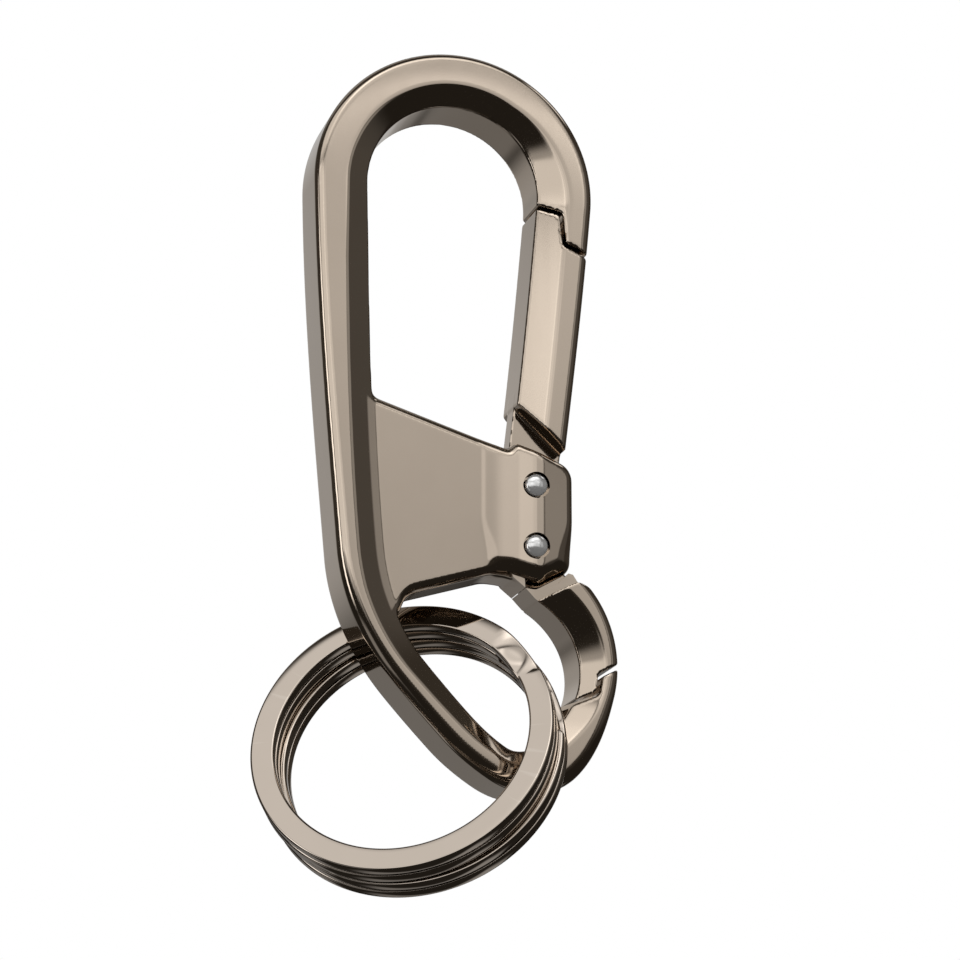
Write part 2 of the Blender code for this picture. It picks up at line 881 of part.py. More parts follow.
# The split rings.
def ring_section(drawn_in):
    """(outwards, backwards) points of the flat wire, its edges eased; its outer edge can be drawn in."""
    inner = -ring_width
    outer = -drawn_in
    return [
        (inner, ring_edge),
        (inner + ring_edge, 0.0),
        (outer - ring_edge, 0.0),
        (outer, ring_edge),
        (outer, ring_leaf - ring_edge),
        (outer - ring_edge, ring_leaf),
        (inner + ring_edge, ring_leaf),
        (inner, ring_leaf - ring_edge),
    ]


def add_ring(name, centre, end_angle, material):
    """Two turns from the front end, seen clockwise, with a jog back just before the wire comes round again."""
    facing = Vector(
        (
            -math.sin(ring_side_turn) * math.cos(ring_up_turn),
            -math.cos(ring_side_turn) * math.cos(ring_up_turn),
            math.sin(ring_up_turn),
        )
    )
    right = Vector((0.0, 0.0, 1.0)).cross(facing).normalized()
    up = facing.cross(right)
    full = 2 * math.pi
    jog_from = full - ring_jog - ring_jog_rest
    jog_to = full - ring_jog_rest
    total = full + jog_from + ring_tail
    whole = total - 2 * ring_ease_turn
    count = math.ceil(whole / ring_step)
    turns = [ring_ease_turn + whole * i / count for i in range(count + 1)]
    eased = [ring_ease_turn * share for share in (0.0, 0.12, 0.45)]
    sections = []
    for along in [*eased, *turns, *[total - turn for turn in reversed(eased)]]:
        near_end = min(along, total - along) / ring_ease_turn
        drawn_in = ring_end_ease * (1 - min(1.0, near_end)) ** 2
        share = min(1.0, max(0.0, (along - jog_from) / (jog_to - jog_from)))
        back = (ring_leaf + ring_leaf_gap) * share * share * (3 - 2 * share)
        outwards = right * math.cos(end_angle - along) + up * math.sin(end_angle - along)
        sections.append(
            [
                centre + outwards * (ring_radius + out) - facing * (back + deep)
                for out, deep in ring_section(drawn_in)
            ]
        )
    return add_object(name, loft(name, sections), ring_axis, material)


front_ring = add_ring(
    "front_ring", front_ring_centre, front_ring_end, new_material("front_ring_nickel", nickel, 0.14)
)
rear_ring = add_ring(
    "rear_ring", rear_ring_centre, rear_ring_end, new_material("rear_ring_nickel", nickel, 0.14)
)

bpy.context.view_layer.update()
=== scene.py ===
"""The double carabiner as photographed: looks only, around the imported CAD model."""

import json
import math

import bmesh
import bpy
import numpy as np
from mathutils import Matrix, Vector

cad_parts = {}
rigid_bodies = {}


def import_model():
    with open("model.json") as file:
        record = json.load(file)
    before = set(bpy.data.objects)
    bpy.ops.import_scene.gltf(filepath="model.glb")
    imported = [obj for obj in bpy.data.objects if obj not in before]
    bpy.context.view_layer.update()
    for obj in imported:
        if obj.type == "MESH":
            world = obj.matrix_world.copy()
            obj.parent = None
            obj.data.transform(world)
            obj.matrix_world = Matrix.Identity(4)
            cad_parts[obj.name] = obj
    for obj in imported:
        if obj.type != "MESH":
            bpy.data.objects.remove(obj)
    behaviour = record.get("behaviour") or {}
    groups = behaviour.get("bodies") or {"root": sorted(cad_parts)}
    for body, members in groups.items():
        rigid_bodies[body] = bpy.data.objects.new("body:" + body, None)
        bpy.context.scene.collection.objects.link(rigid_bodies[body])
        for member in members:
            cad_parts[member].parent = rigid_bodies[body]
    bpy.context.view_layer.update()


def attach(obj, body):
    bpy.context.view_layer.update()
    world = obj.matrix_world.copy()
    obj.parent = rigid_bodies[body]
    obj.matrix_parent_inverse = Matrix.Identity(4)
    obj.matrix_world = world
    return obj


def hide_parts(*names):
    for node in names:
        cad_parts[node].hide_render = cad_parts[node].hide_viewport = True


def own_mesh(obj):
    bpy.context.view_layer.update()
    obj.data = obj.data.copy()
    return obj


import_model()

MM = 0.001


# Camera, floor and light. Angles here are in degrees, lengths in metres.
PHOTO_LENS, SENSOR_WIDTH, NEAREST = 124.69, 36.0, 0.01
CAMERA_PLACE = (-0.08641, -0.33009, -0.13280)
CAMERA_TARGET = (0.00280, -0.00400, -0.04221)
MIDDLE = Vector((0.0, 0.0, -0.045))
FLOOR_Z, FLOOR_SIZE = -0.36, 8.0


def aim(obj, place, target):
    obj.location = place
    obj.rotation_euler = (Vector(target) - Vector(place)).to_track_quat("-Z", "Y").to_euler()


camera_data = bpy.data.cameras.new("photo_camera")
camera_data.lens = PHOTO_LENS
camera_data.sensor_width = SENSOR_WIDTH
camera_data.clip_start = NEAREST
camera = bpy.data.objects.new("photo_camera", camera_data)
bpy.context.scene.collection.objects.link(camera)
aim(camera, CAMERA_PLACE, CAMERA_TARGET)
bpy.context.scene.camera = camera


def plane_at(name, place, target, width, height):
    """A flat card facing the target."""
    half_w, half_h = width / 2, height / 2
    mesh = bpy.data.meshes.new(name)
    corners = [(-half_w, -half_h, 0), (half_w, -half_h, 0), (half_w, half_h, 0), (-half_w, half_h, 0)]
    mesh.from_pydata(corners, [], [(0, 1, 2, 3)])
    card = bpy.data.objects.new(name, mesh)
    bpy.context.scene.collection.objects.link(card)
    aim(card, place, target)
    return card


def add_node(tree, kind, settings=(), inputs=()):
    """A node with its settings, its inputs fed by sockets or set to values."""
    made = tree.nodes.new(kind)
    for label, value in dict(settings).items():
        setattr(made, label, value)
    for label, value in dict(inputs).items():
        if isinstance(value, bpy.types.NodeSocket):
            tree.links.new(value, made.inputs[label])
        else:
            made.inputs[label].default_value = value
    return made


def math_node(tree, operation, *values):
    return add_node(tree, "ShaderNodeMath", {"operation": operation}, enumerate(values)).outputs[0]


def new_material(name):
    material = bpy.data.materials.new(name)
    material.use_nodes = True
    tree = material.node_tree
    return material, tree, tree.nodes["Principled BSDF"]


floor_material, _, floor_shader = new_material("pale_floor")
floor_shader.inputs["Base Color"].default_value = (0.82, 0.82, 0.82, 1.0)
floor_shader.inputs["Roughness"].default_value = 0.9
floor = plane_at("floor", (0.0, 0.0, FLOOR_Z), (0.0, 0.0, FLOOR_Z - 1.0), FLOOR_SIZE, FLOOR_SIZE)
floor.rotation_euler = (0.0, 0.0, 0.0)
floor.data.materials.append(floor_material)


def towards(azimuth, elevation, distance):
    """A place seen from the part's middle: azimuth 0 is in front, 90 to the right."""
    a, e = math.radians(azimuth), math.radians(elevation)
    return MIDDLE + Vector((math.sin(a) * math.cos(e), -math.cos(a) * math.cos(e), math.sin(e))) * distance


def only_reflected(obj):
    """Studio gear that nothing but a reflection sees."""
    obj.visible_camera = False
    obj.visible_diffuse = False
    obj.visible_shadow = False
    obj.visible_transmission = False


def bare_material(name):
    """A material with an empty tree, its output and a reader of Object coordinates."""
    material = bpy.data.materials.new(name)
    material.use_nodes = True
    tree = material.node_tree
    tree.nodes.clear()
    material.cycles.emission_sampling = "NONE"
    place = tree.nodes.new("ShaderNodeTexCoord")
    out = tree.nodes.new("ShaderNodeOutputMaterial")
    return material, tree, place.outputs["Object"], out.inputs["Surface"]


TENT_RADIUS, TENT_LEVEL, TENT_FOOT_SHARE, TABLE_RISE = 2.6, 0.055, 0.4, 0.02
TENT_COLOUR = (1.0, 0.88, 0.74, 1.0)


def dark_tent():
    """The dim studio round the part: a dome with a flat table for its floor, darker towards its foot."""
    work = bmesh.new()
    bmesh.ops.create_uvsphere(work, u_segments=48, v_segments=24, radius=TENT_RADIUS)
    for vert in work.verts:
        vert.co += MIDDLE
        vert.co.z = max(vert.co.z, FLOOR_Z + TABLE_RISE)
    mesh = bpy.data.meshes.new("dark_tent")
    work.to_mesh(mesh)
    work.free()
    material, tree, place, surface = bare_material("dark_tent")
    parts = add_node(tree, "ShaderNodeSeparateXYZ", (), {0: place})
    shade = add_node(tree, "ShaderNodeMapRange", (), {
        "Value": parts.outputs["Z"], "From Min": FLOOR_Z, "From Max": -FLOOR_Z,
        "To Min": TENT_LEVEL * TENT_FOOT_SHARE, "To Max": TENT_LEVEL,
    })
    glow = add_node(
        tree, "ShaderNodeEmission", (), {"Color": TENT_COLOUR, "Strength": shade.outputs["Result"]}
    )
    tree.links.new(glow.outputs[0], surface)
    mesh.materials.append(material)
    tent = bpy.data.objects.new("dark_tent", mesh)
    bpy.context.scene.collection.objects.link(tent)
    only_reflected(tent)


def fall_off(tree, value, hold):
    """1 up to the held share of a half width, then smoothly down to 0 at its rim."""
    ramp = add_node(tree, "ShaderNodeMapRange", {"interpolation_type": "SMOOTHSTEP"}, {
        "Value": math_node(tree, "ABSOLUTE", value), "From Min": hold, "From Max": 1.0,
        "To Min": 1.0, "To Max": 0.0,
    })
    return ramp.outputs["Result"]


def light_panel(name, azimuth, elevation, half_azimuth, half_elevation, level, hold=0.5, distance=0.85):
    """A soft-edged panel of light in the tent, given by the angles that it covers; panels add up."""
    width = 2 * distance * math.tan(math.radians(half_azimuth))
    height = 2 * distance * math.tan(math.radians(half_elevation))
    card = plane_at(name, towards(azimuth, elevation, distance), MIDDLE, width, height)
    material, tree, place, surface = bare_material(name)
    scaled = add_node(
        tree, "ShaderNodeVectorMath", {"operation": "MULTIPLY"},
        {0: place, 1: (2 / width, 2 / height, 0.0)},
    )
    parts = add_node(tree, "ShaderNodeSeparateXYZ", (), {0: scaled.outputs[0]}).outputs
    both = math_node(
        tree, "MULTIPLY", fall_off(tree, parts["X"], hold), fall_off(tree, parts["Y"], hold)
    )
    glow = add_node(tree, "ShaderNodeEmission", (), {"Strength": math_node(tree, "MULTIPLY", both, level)})
    clear = add_node(tree, "ShaderNodeBsdfTransparent")
    total = add_node(tree, "ShaderNodeAddShader", (), {0: glow.outputs[0], 1: clear.outputs[0]})
    tree.links.new(total.outputs[0], surface)
    card.data.materials.append(material)
    only_reflected(card)


# Panels: name, azimuth, elevation, half widths both ways and level. The share of a half width that is held
# at full level, and the distance, follow where they aren't the usual ones.
PANELS = (
    ("front_panel", -20, 45.5, 46, 20, 0.55, 0.75),
    ("front_low_panel", 3, 16, 23, 11.5, 0.58, 0.8),
    ("front_left_panel", -41, 16, 26, 12, 0.58, 0.8),
    ("left_low_panel", -36, 13, 32, 16, 0.45, 0.6),
    ("key_panel", -38, 44.5, 32, 16, 0.40, 0.6),
    ("key_foot_panel", -37, 2, 12, 7, 0.4, 0.5),
    ("top_panel", 5, 51, 23, 15, 0.88, 0.5),
    ("middle_panel", -8, 40, 26, 14, 0.28, 0.4),
    ("plate_panel", 12, 25, 22, 14, 0.15, 0.3),
    ("ramp_panel", -4, 15, 9, 10, 0.26, 0.5),
    ("facet_panel", 36, 17, 11, 18, 0.33, 0.4),
    ("right_dim_panel", 64, 14, 24, 24, 0.05, 0.5),
    ("right_top_panel", 86, 51, 14, 8, 1.0),
    ("left_strip", -79, 3, 10, 20, 2.2),
    ("left_foot_panel", -66, -28, 20, 12, 0.28, 0.4, 0.42),
    ("left_back_foot_panel", -130, -38, 16, 9, 0.4, 0.3, 0.35),
    ("back_panel", 168, 20, 28, 18, 0.46, 0.3),
    ("back_right_foot_panel", 149, 0, 9, 12, 0.4, 0.4),
    ("back_left_panel", -162, 12, 20, 22, 0.38, 0.2),
    ("back_low_panel", -178, -17, 36, 14, 0.2, 0.5, 0.5),
    ("back_top_panel", 180, 62, 40, 25, 0.3),
    ("low_right_panel", 132, -46, 18, 10, 0.35, 0.4, 0.33),
    ("low_back_panel", 168, -50, 18, 8, 0.22, 0.4, 0.32),
)
dark_tent()
for panel in PANELS:
    light_panel(*panel)

LAMP_DISTANCE, LAMP_SIZE, LAMP_LEVEL = 0.7, 0.5, 0.8


def softbox(name, azimuth, elevation):
    """An area lamp that faces the part; the panels above stand for it in reflections."""
    lamp_data = bpy.data.lights.new(name, "AREA")
    lamp_data.shape = "RECTANGLE"
    lamp_data.size = LAMP_SIZE
    lamp_data.size_y = LAMP_SIZE
    lamp_data.energy = LAMP_LEVEL * math.pi * LAMP_SIZE * LAMP_SIZE
    lamp = bpy.data.objects.new(name, lamp_data)
    bpy.context.scene.collection.objects.link(lamp)
    aim(lamp, towards(azimuth, elevation, LAMP_DISTANCE), MIDDLE)
    lamp.visible_glossy = False


softbox("key_softbox", -38, 40)
softbox("top_softbox", 3, 54)

# The world is white for the camera, reflections and glass, and dimmer for the light that it gives.
WORLD_FILL = 0.55
world = bpy.data.worlds.new("studio")
bpy.context.scene.world = world
world.use_nodes = True
world_tree = world.node_tree
world_tree.nodes.clear()
rays = add_node(world_tree, "ShaderNodeLightPath").outputs
either = math_node(world_tree, "MAXIMUM", rays["Is Camera Ray"], rays["Is Glossy Ray"])
seen = math_node(world_tree, "MAXIMUM", either, rays["Is Transmission Ray"])
brightness = add_node(
    world_tree, "ShaderNodeMapRange", (), {"Value": seen, "To Min": WORLD_FILL, "To Max": 1.0}
)
backdrop = add_node(
    world_tree, "ShaderNodeBackground", (),
    {"Color": (1.0, 1.0, 1.0, 1.0), "Strength": brightness.outputs["Result"]},
)
add_node(world_tree, "ShaderNodeOutputWorld", (), {"Surface": backdrop.outputs[0]})
bpy.context.scene.view_settings.view_transform = "Standard"


# Finishes.
LINE_STRETCH = (1.0, 1.0, 0.06)
NOISE_LOW, NOISE_HIGH = 0.3, 0.7
FLAT_POINTINESS, EDGE_POINTINESS = 0.53, 0.62
EDGE_WEAR = 0.3
POLISH_DEPTH = 0.00002


def new_group(name, inputs, outputs):
    """A shader node group with named sockets."""
    group = bpy.data.node_groups.new(name, "ShaderNodeTree")
    for label, kind, value in inputs:
        socket = group.interface.new_socket(label, in_out="INPUT", socket_type=kind)
        socket.default_value = value
    for label, kind in outputs:
        group.interface.new_socket(label, in_out="OUTPUT", socket_type=kind)
    start = group.nodes.new("NodeGroupInput")
    end = group.nodes.new("NodeGroupOutput")
    return group, start, end


def brushed_group():
    """Fine polishing lines and slow clouding: a tone and a roughness that change over the metal."""
    group, start, end = new_group(
        "polish_lines",
        (
            ("Lines", "NodeSocketFloat", 900.0),
            ("Clouds", "NodeSocketFloat", 160.0),
            ("Rough Low", "NodeSocketFloat", 0.15),
            ("Rough High", "NodeSocketFloat", 0.25),
        ),
        (("Tone", "NodeSocketFloat"), ("Roughness", "NodeSocketFloat"), ("Height", "NodeSocketFloat")),
    )
    place = add_node(group, "ShaderNodeTexCoord").outputs["Object"]
    stretched = add_node(
        group, "ShaderNodeVectorMath", {"operation": "MULTIPLY"}, {0: place, 1: LINE_STRETCH}
    )
    lines = add_node(
        group, "ShaderNodeTexNoise", (),
        {"Vector": stretched.outputs[0], "Scale": start.outputs["Lines"], "Detail": 3.0},
    ).outputs["Fac"]
    clouds = add_node(
        group, "ShaderNodeTexNoise", (),
        {"Vector": place, "Scale": start.outputs["Clouds"], "Detail": 4.0},
    ).outputs["Fac"]
    mean = math_node(group, "MULTIPLY", math_node(group, "ADD", lines, clouds), 0.5)
    rough = add_node(group, "ShaderNodeMapRange", (), {
        "Value": mean, "From Min": NOISE_LOW, "From Max": NOISE_HIGH,
        "To Min": start.outputs["Rough Low"], "To Max": start.outputs["Rough High"],
    })
    for label, value in (("Tone", clouds), ("Roughness", rough.outputs["Result"]), ("Height", lines)):
        group.links.new(value, end.inputs[label])
    return group


def edge_group():
    """Where a corner sticks out: 1 on worn edges, 0 on flats."""
    group, start, end = new_group(
        "worn_edges",
        (("Sharpness", "NodeSocketFloat", EDGE_POINTINESS), ("Amount", "NodeSocketFloat", 1.0)),
        (("Mask", "NodeSocketFloat"),),
    )
    shape = add_node(group, "ShaderNodeNewGeometry").outputs
    mask = add_node(group, "ShaderNodeMapRange", (), {
        "Value": shape["Pointiness"], "From Min": FLAT_POINTINESS, "From Max": start.outputs["Sharpness"],
    })
    scaled = math_node(group, "MULTIPLY", mask.outputs["Result"], start.outputs["Amount"])
    group.links.new(scaled, end.inputs["Mask"])
    return group


POLISH = brushed_group()
EDGES = edge_group()


def plated_metal(name, tones_of, rough, lines, bump, metallic=1.0):
    """A plated metal: two close tones that cloud into each other, brighter at its worn edges."""
    dark, light, worn = tones_of
    material, tree, shader = new_material(name)
    polish = add_node(
        tree, "ShaderNodeGroup", {"node_tree": POLISH},
        {"Lines": lines, "Rough Low": rough[0], "Rough High": rough[1]},
    ).outputs
    edges = add_node(tree, "ShaderNodeGroup", {"node_tree": EDGES}, {"Amount": EDGE_WEAR})
    tones = add_node(
        tree, "ShaderNodeMix", {"data_type": "RGBA"},
        {"Factor": polish["Tone"], "A": (*dark, 1.0), "B": (*light, 1.0)},
    )
    bare = add_node(
        tree, "ShaderNodeMix", {"data_type": "RGBA"},
        {"Factor": edges.outputs["Mask"], "A": tones.outputs["Result"], "B": (*worn, 1.0)},
    )
    relief = add_node(
        tree, "ShaderNodeBump", (),
        {"Strength": bump, "Distance": POLISH_DEPTH, "Height": polish["Height"]},
    )
    for label, value in (
        ("Base Color", bare.outputs["Result"]), ("Roughness", polish["Roughness"]),
        ("Normal", relief.outputs["Normal"]),
    ):
        tree.links.new(value, shader.inputs[label])
    shader.inputs["Metallic"].default_value = metallic
    return material


# Each finish: its dark, light and worn tones, its roughness from and to, its lines' scale, its relief.
body_metal = plated_metal(
    "satin_gunmetal", ((0.52, 0.44, 0.36), (0.57, 0.485, 0.40), (0.68, 0.59, 0.50)),
    (0.06, 0.10), 900.0, 0.03,
)
ring_metal = plated_metal(
    "polished_ring_metal", ((0.52, 0.455, 0.39), (0.56, 0.49, 0.425), (0.68, 0.62, 0.55)),
    (0.03, 0.06), 1200.0, 0.03,
)
rivet_metal = plated_metal(
    "bright_rivet_metal", ((0.80, 0.80, 0.79), (0.86, 0.86, 0.86), (0.9, 0.9, 0.9)),
    (0.10, 0.16), 1500.0, 0.03, 0.7,
)
spring_metal = plated_metal(
    "spring_wire_metal", ((0.40, 0.40, 0.41), (0.48, 0.48, 0.49), (0.6, 0.6, 0.6)),
    (0.2, 0.35), 2500.0, 0.1,
)


# The bar's middle line and the outlines, in millimetres, after the CAD model's.
# A run of the line: its length, its turn in degrees, the bar's width at its start and at its end.
LEAD_IN = 3.5
RUNS = (
    (LEAD_IN, 0.0, 5.75, 5.75),
    (27.3, 2.1, 5.75, 5.98),
    (40.4, 186.4, 5.98, 5.88),
    (40.0, 4.0, 5.88, 4.75),
    (14.7, 35.5, 4.75, 4.15),
    (7.25, 3.0, 4.15, 4.1),
    (5.6, 14.1, 4.1, 3.95),
    (7.45, 76.7, 3.95, 5.2),
    (7.9, 31.0, 5.2, 3.95),
    (14.25, 74.9, 3.95, 5.0),
)
LINE_HEADING = math.radians(82.8)
GATE_FOOT_X, GATE_FOOT_Z = 9.57, -37.86
LINE_START = (
    GATE_FOOT_X - LEAD_IN * math.cos(LINE_HEADING), GATE_FOOT_Z - LEAD_IN * math.sin(LINE_HEADING)
)
FULL_LENGTH = sum(run[0] for run in RUNS)
KEY_SPLIT = FULL_LENGTH - RUNS[-1][0]
MAIN_NOSE_FROM, MAIN_GATE_TO = LEAD_IN + 20.6, LEAD_IN + 29.2
KEY_NOSE_TO, KEY_GATE_FROM = KEY_SPLIT + 5.2, KEY_SPLIT - 4.2
PIN_X, MAIN_PIN_Z, KEY_PIN_Z = 9.09, -42.26, -48.88
SPRING_OFFSET = 1.42
# Half the thickness of the bar's face, of its inner wall and of the plate, then of what is cut or joined.
HALF_DEPTH, INNER_HALF, PLATE_HALF = 4.0, 2.9, 3.0
SLOT_HALF, RELIEF_HALF, TONGUE_HALF, NECK_HALF, LIP_HALF = 1.6, 1.58, 1.3, 2.7, 1.6
# The bar's section changes along its line: distance, outer shoulder's radius, inner chamfer's width,
# crown's slope.
SECTION = (
    (31.0, 0.95, 3.3, 0.0),
    (44.0, 0.95, 2.2, 0.02),
    (66.0, 0.95, 2.15, 0.02),
    (80.0, 0.95, 2.62, 0.02),
    (92.0, 1.0, 2.65, 0.02),
    (116.0, 1.2, 2.65, 0.04),
    (127.0, 1.15, 2.15, 0.05),
    (139.0, 1.15, 1.6, 0.05),
    (149.0, 1.4, 2.2, 0.02),
    (156.0, 0.95, 2.7, 0.0),
)

PLATE_OUTLINE = (
    (-11.8, -31.0), (-8.85, -31.0), (-8.7, -33.35, 1.5), (7.4, -38.6), (7.4, -51.9),
    (4.6, -51.9, 4.0), (-4.6, -54.6, 2.2), (-6.3, -58.6), (-8.2, -58.6),
)
HOUSE_OUTLINE = (
    (3.0, -37.7), (6.1, -38.45, 0.3), (7.05, -37.55, 0.55), (13.3, -40.0, 2.0), (13.3, -51.0, 1.6),
    (9.6, -53.05, 1.8), (6.1, -51.95, 1.5), (3.0, -51.6),
)
TOE_OUTLINE = ((6.3, -51.2), (7.6, -51.2), (8.04, -52.2), (8.11, -53.2), (6.8, -52.15, 0.5))
SLOT_OUTLINE = (
    (5.3, -35.0), (15.5, -35.0), (15.5, -56.0), (8.12, -56.0), (8.12, -53.2), (5.9, -48.4),
    (5.9, -43.2), (5.3, -42.4),
)
MAIN_LATCH = ((6.5, -9.7), (12.0, -11.6, 0.7), (12.3, -15.1, 0.5), (17.5, -17.4))
KEY_LATCH = ((20.4, -60.1), (16.0, -62.35, 0.5), (15.7, -64.3, 0.7), (10.6, -66.3))
LATCH_GAP = 0.34
KEY_LIP = ((11.4, -66.35), (15.5, -64.75), (15.7, -64.22), (12.2, -65.6), (10.9, -66.1))


def shifted(corners, by_x, by_z):
    return [(c[0] + by_x, c[1] + by_z, *c[2:]) for c in corners]


HALF_GAP = LATCH_GAP / 2
MAIN_NOSE_CUT = [*shifted(MAIN_LATCH, HALF_GAP, HALF_GAP), (17.5, -25.0), (6.5, -25.0)]
MAIN_GATE_CUT = [*shifted(MAIN_LATCH, -HALF_GAP, -HALF_GAP), (17.5, -2.0), (6.5, -2.0)]
KEY_NOSE_CUT = [*shifted(KEY_LATCH, HALF_GAP, -HALF_GAP), (10.6, -53.0), (20.4, -53.0)]
KEY_GATE_CUT = [*shifted(KEY_LATCH, -HALF_GAP, HALF_GAP), (10.6, -73.0), (20.4, -73.0)]
MAIN_END_CUT = ((5.2, -31.2), (15.2, -40.9), (15.2, -50.0), (5.2, -50.0))
KEY_END_CUT = ((6.0, -56.2), (13.6, -52.5, 1.0), (17.2, -53.6), (17.2, -43.0), (6.0, -43.0))
MAIN_TONGUE = (
    (7.5, -31.6), (6.24, -42.26), (6.24, -45.11, 2.85), (11.94, -45.11, 2.85), (11.94, -42.26),
    (12.5, -37.6), (12.0, -34.6),
)
KEY_TONGUE = (
    (11.94, -48.88), (11.94, -46.03, 2.85), (6.24, -46.03, 2.85), (6.24, -48.88),
    (9.4, -53.7, 1.4), (10.2, -54.9), (13.2, -55.0), (13.4, -52.6), (12.9, -51.3),
)
NECK_RADIUS, NECK_FROM, NECK_SWEEP, NECK_STEPS = 4.47, 257.8, 62.2, 14
NECK_ANGLES = [math.radians(NECK_FROM + NECK_SWEEP * i / NECK_STEPS) for i in range(NECK_STEPS + 1)]
KEY_NECK = (
    *((PIN_X + NECK_RADIUS * math.cos(a), KEY_PIN_Z + NECK_RADIUS * math.sin(a)) for a in NECK_ANGLES),
    (12.85, -51.38), (13.35, -51.5), (13.8, -52.2), (14.3, -52.7), (13.3, -55.1), (10.0, -54.9),
    (9.2, -54.36),
)

ARC_STEP = math.radians(6.0)


def rounded(corners):
    """An outline through corners (x, z) or (x, z, radius), with an arc at each that has a radius."""
    points = []
    for i, corner in enumerate(corners):
        here = Vector(corner[:2])
        radius = corner[2] if len(corner) > 2 else 0.0
        if radius <= 0:
            points.append((here.x, here.y))
            continue
        before = (Vector(corners[i - 1][:2]) - here).normalized()
        after = (Vector(corners[(i + 1) % len(corners)][:2]) - here).normalized()
        half = before.angle(after) / 2
        centre = here + (before + after).normalized() * (radius / math.sin(half))
        start = here + before * (radius / math.tan(half)) - centre
        sweep = math.pi - 2 * half
        side = 1.0 if before.x * after.y - before.y * after.x < 0 else -1.0
        steps = max(1, math.ceil(sweep / ARC_STEP))
        for k in range(steps + 1):
            turned = Matrix.Rotation(side * sweep * k / steps, 2) @ start
            points.append((centre.x + turned.x, centre.y + turned.y))
    return points


# Distance fields: negative inside a shape, 0 on its surface.
FAR_AWAY, WELL_INSIDE = 1e9, -9.0


def outline_field(corners):
    """Signed distance in the XZ plane to an outline."""
    points = np.array(rounded(corners))
    ends = np.roll(points, -1, axis=0)

    def field(x, z):
        nearest = np.full(x.shape, FAR_AWAY)
        inside = np.zeros(x.shape, bool)
        for (ax, az), (bx, bz) in zip(points, ends):
            ex, ez = bx - ax, bz - az
            if abs(ex) + abs(ez) < 1e-9:
                continue
            along = np.clip(((x - ax) * ex + (z - az) * ez) / (ex * ex + ez * ez), 0.0, 1.0)
            nearest = np.minimum(nearest, (x - ax - along * ex) ** 2 + (z - az - along * ez) ** 2)
            if az != bz:
                crosses = (z < az) != (z < bz)
                inside ^= crosses & (x < ax + (z - az) * ex / ez)
        return np.where(inside, -1.0, 1.0) * np.sqrt(nearest)

    return field


def soft_max(a, b, blend):
    gap = np.maximum(blend - np.abs(a - b), 0.0) / blend
    return np.maximum(a, b) + gap * gap * blend / 4


def soft_min(a, b, blend):
    return -soft_max(-a, -b, blend)


def round_corner(a, b, radius):
    """Both a and b, with a true arc where they meet square on."""
    over_a, over_b = np.maximum(a + radius, 0.0), np.maximum(b + radius, 0.0)
    return np.minimum(np.maximum(a, b) + radius, 0.0) + np.hypot(over_a, over_b) - radius


def line_runs(first, last):
    """The bar's runs between two distances: start, heading, length, turn, widths, shares, distance."""
    found = []
    (x, z), heading, done = LINE_START, LINE_HEADING, 0.0
    for length, turn, width, end_width in RUNS:
        turn = math.radians(turn)
        low, high = max(first, done) - done, min(last, done + length) - done
        chord = length if turn == 0 else 2 * length / turn * math.sin(turn / 2)
        if high > low:
            shares = (low / length, high / length)
            found.append((x, z, heading, length, turn, width, end_width, *shares, done))
        x += chord * math.cos(heading + turn / 2)
        z += chord * math.sin(heading + turn / 2)
        heading += turn
        done += length
    return found


def bar_field(first, last):
    """The bar between two distances: across its line, its width, the way past its ends, its section."""
    runs = line_runs(first, last)

    def field(x, z):
        best = np.full(x.shape, FAR_AWAY)
        across = np.zeros(x.shape)
        width = np.zeros(x.shape)
        past = np.zeros(x.shape)
        reached = np.zeros(x.shape)
        for number, (ax, az, heading, length, turn, w0, w1, low, high, done) in enumerate(runs):
            if turn == 0:
                along = ((x - ax) * math.cos(heading) + (z - az) * math.sin(heading)) / length
                share = np.clip(along, low, high)
                near_x = ax + share * length * math.cos(heading)
                near_z = az + share * length * math.sin(heading)
            else:
                radius = length / turn
                cx, cz = ax - radius * math.sin(heading), az + radius * math.cos(heading)
                angle = np.arctan2(z - cz, x - cx) - (heading - math.pi / 2) - turn / 2
                angle = (angle + math.pi) % (2 * math.pi) - math.pi + turn / 2
                share = np.clip(angle / turn, low, high)
                at = heading - math.pi / 2 + share * turn
                near_x, near_z = cx + radius * np.cos(at), cz + radius * np.sin(at)
            facing = heading + share * turn
            distance = (x - near_x) ** 2 + (z - near_z) ** 2
            closer = distance < best
            side = -(x - near_x) * np.sin(facing) + (z - near_z) * np.cos(facing)
            ahead = (x - near_x) * np.cos(facing) + (z - near_z) * np.sin(facing)
            beyond = np.full(x.shape, WELL_INSIDE)
            if number == 0:
                beyond = np.where(share <= low, -ahead, beyond)
            if number == len(runs) - 1:
                beyond = np.where(share >= high, ahead, beyond)
            best = np.where(closer, distance, best)
            across = np.where(closer, side, across)
            width = np.where(closer, w0 + (w1 - w0) * share * share * (3 - 2 * share), width)
            past = np.where(closer, beyond, past)
            reached = np.where(closer, done + share * length, reached)
        section = [np.interp(reached, [s[0] for s in SECTION], [s[i] for s in SECTION]) for i in (1, 2, 3)]
        return across, width, past, *section

    return field


FACE_BLEND, INNER_BLEND = 0.14, 0.2


def bar_body(flat, depth):
    """Flat front and back, a round outer shoulder and an inner chamfer."""
    across, width, past, shoulder, slant, crown = flat
    out_by = np.maximum(width / 2 - slant - across, 0.0)
    face = depth - HALF_DEPTH + crown * out_by**2 / 4
    outer = round_corner(-across - width / 2, face, shoulder)
    drop = HALF_DEPTH - INNER_HALF
    chamfer = (drop * (across - width / 2) + slant * (depth - INNER_HALF)) / np.hypot(drop, slant)
    body = soft_max(outer, chamfer, FACE_BLEND)
    body = soft_max(body, across - width / 2, INNER_BLEND)
    return np.maximum(body, past)


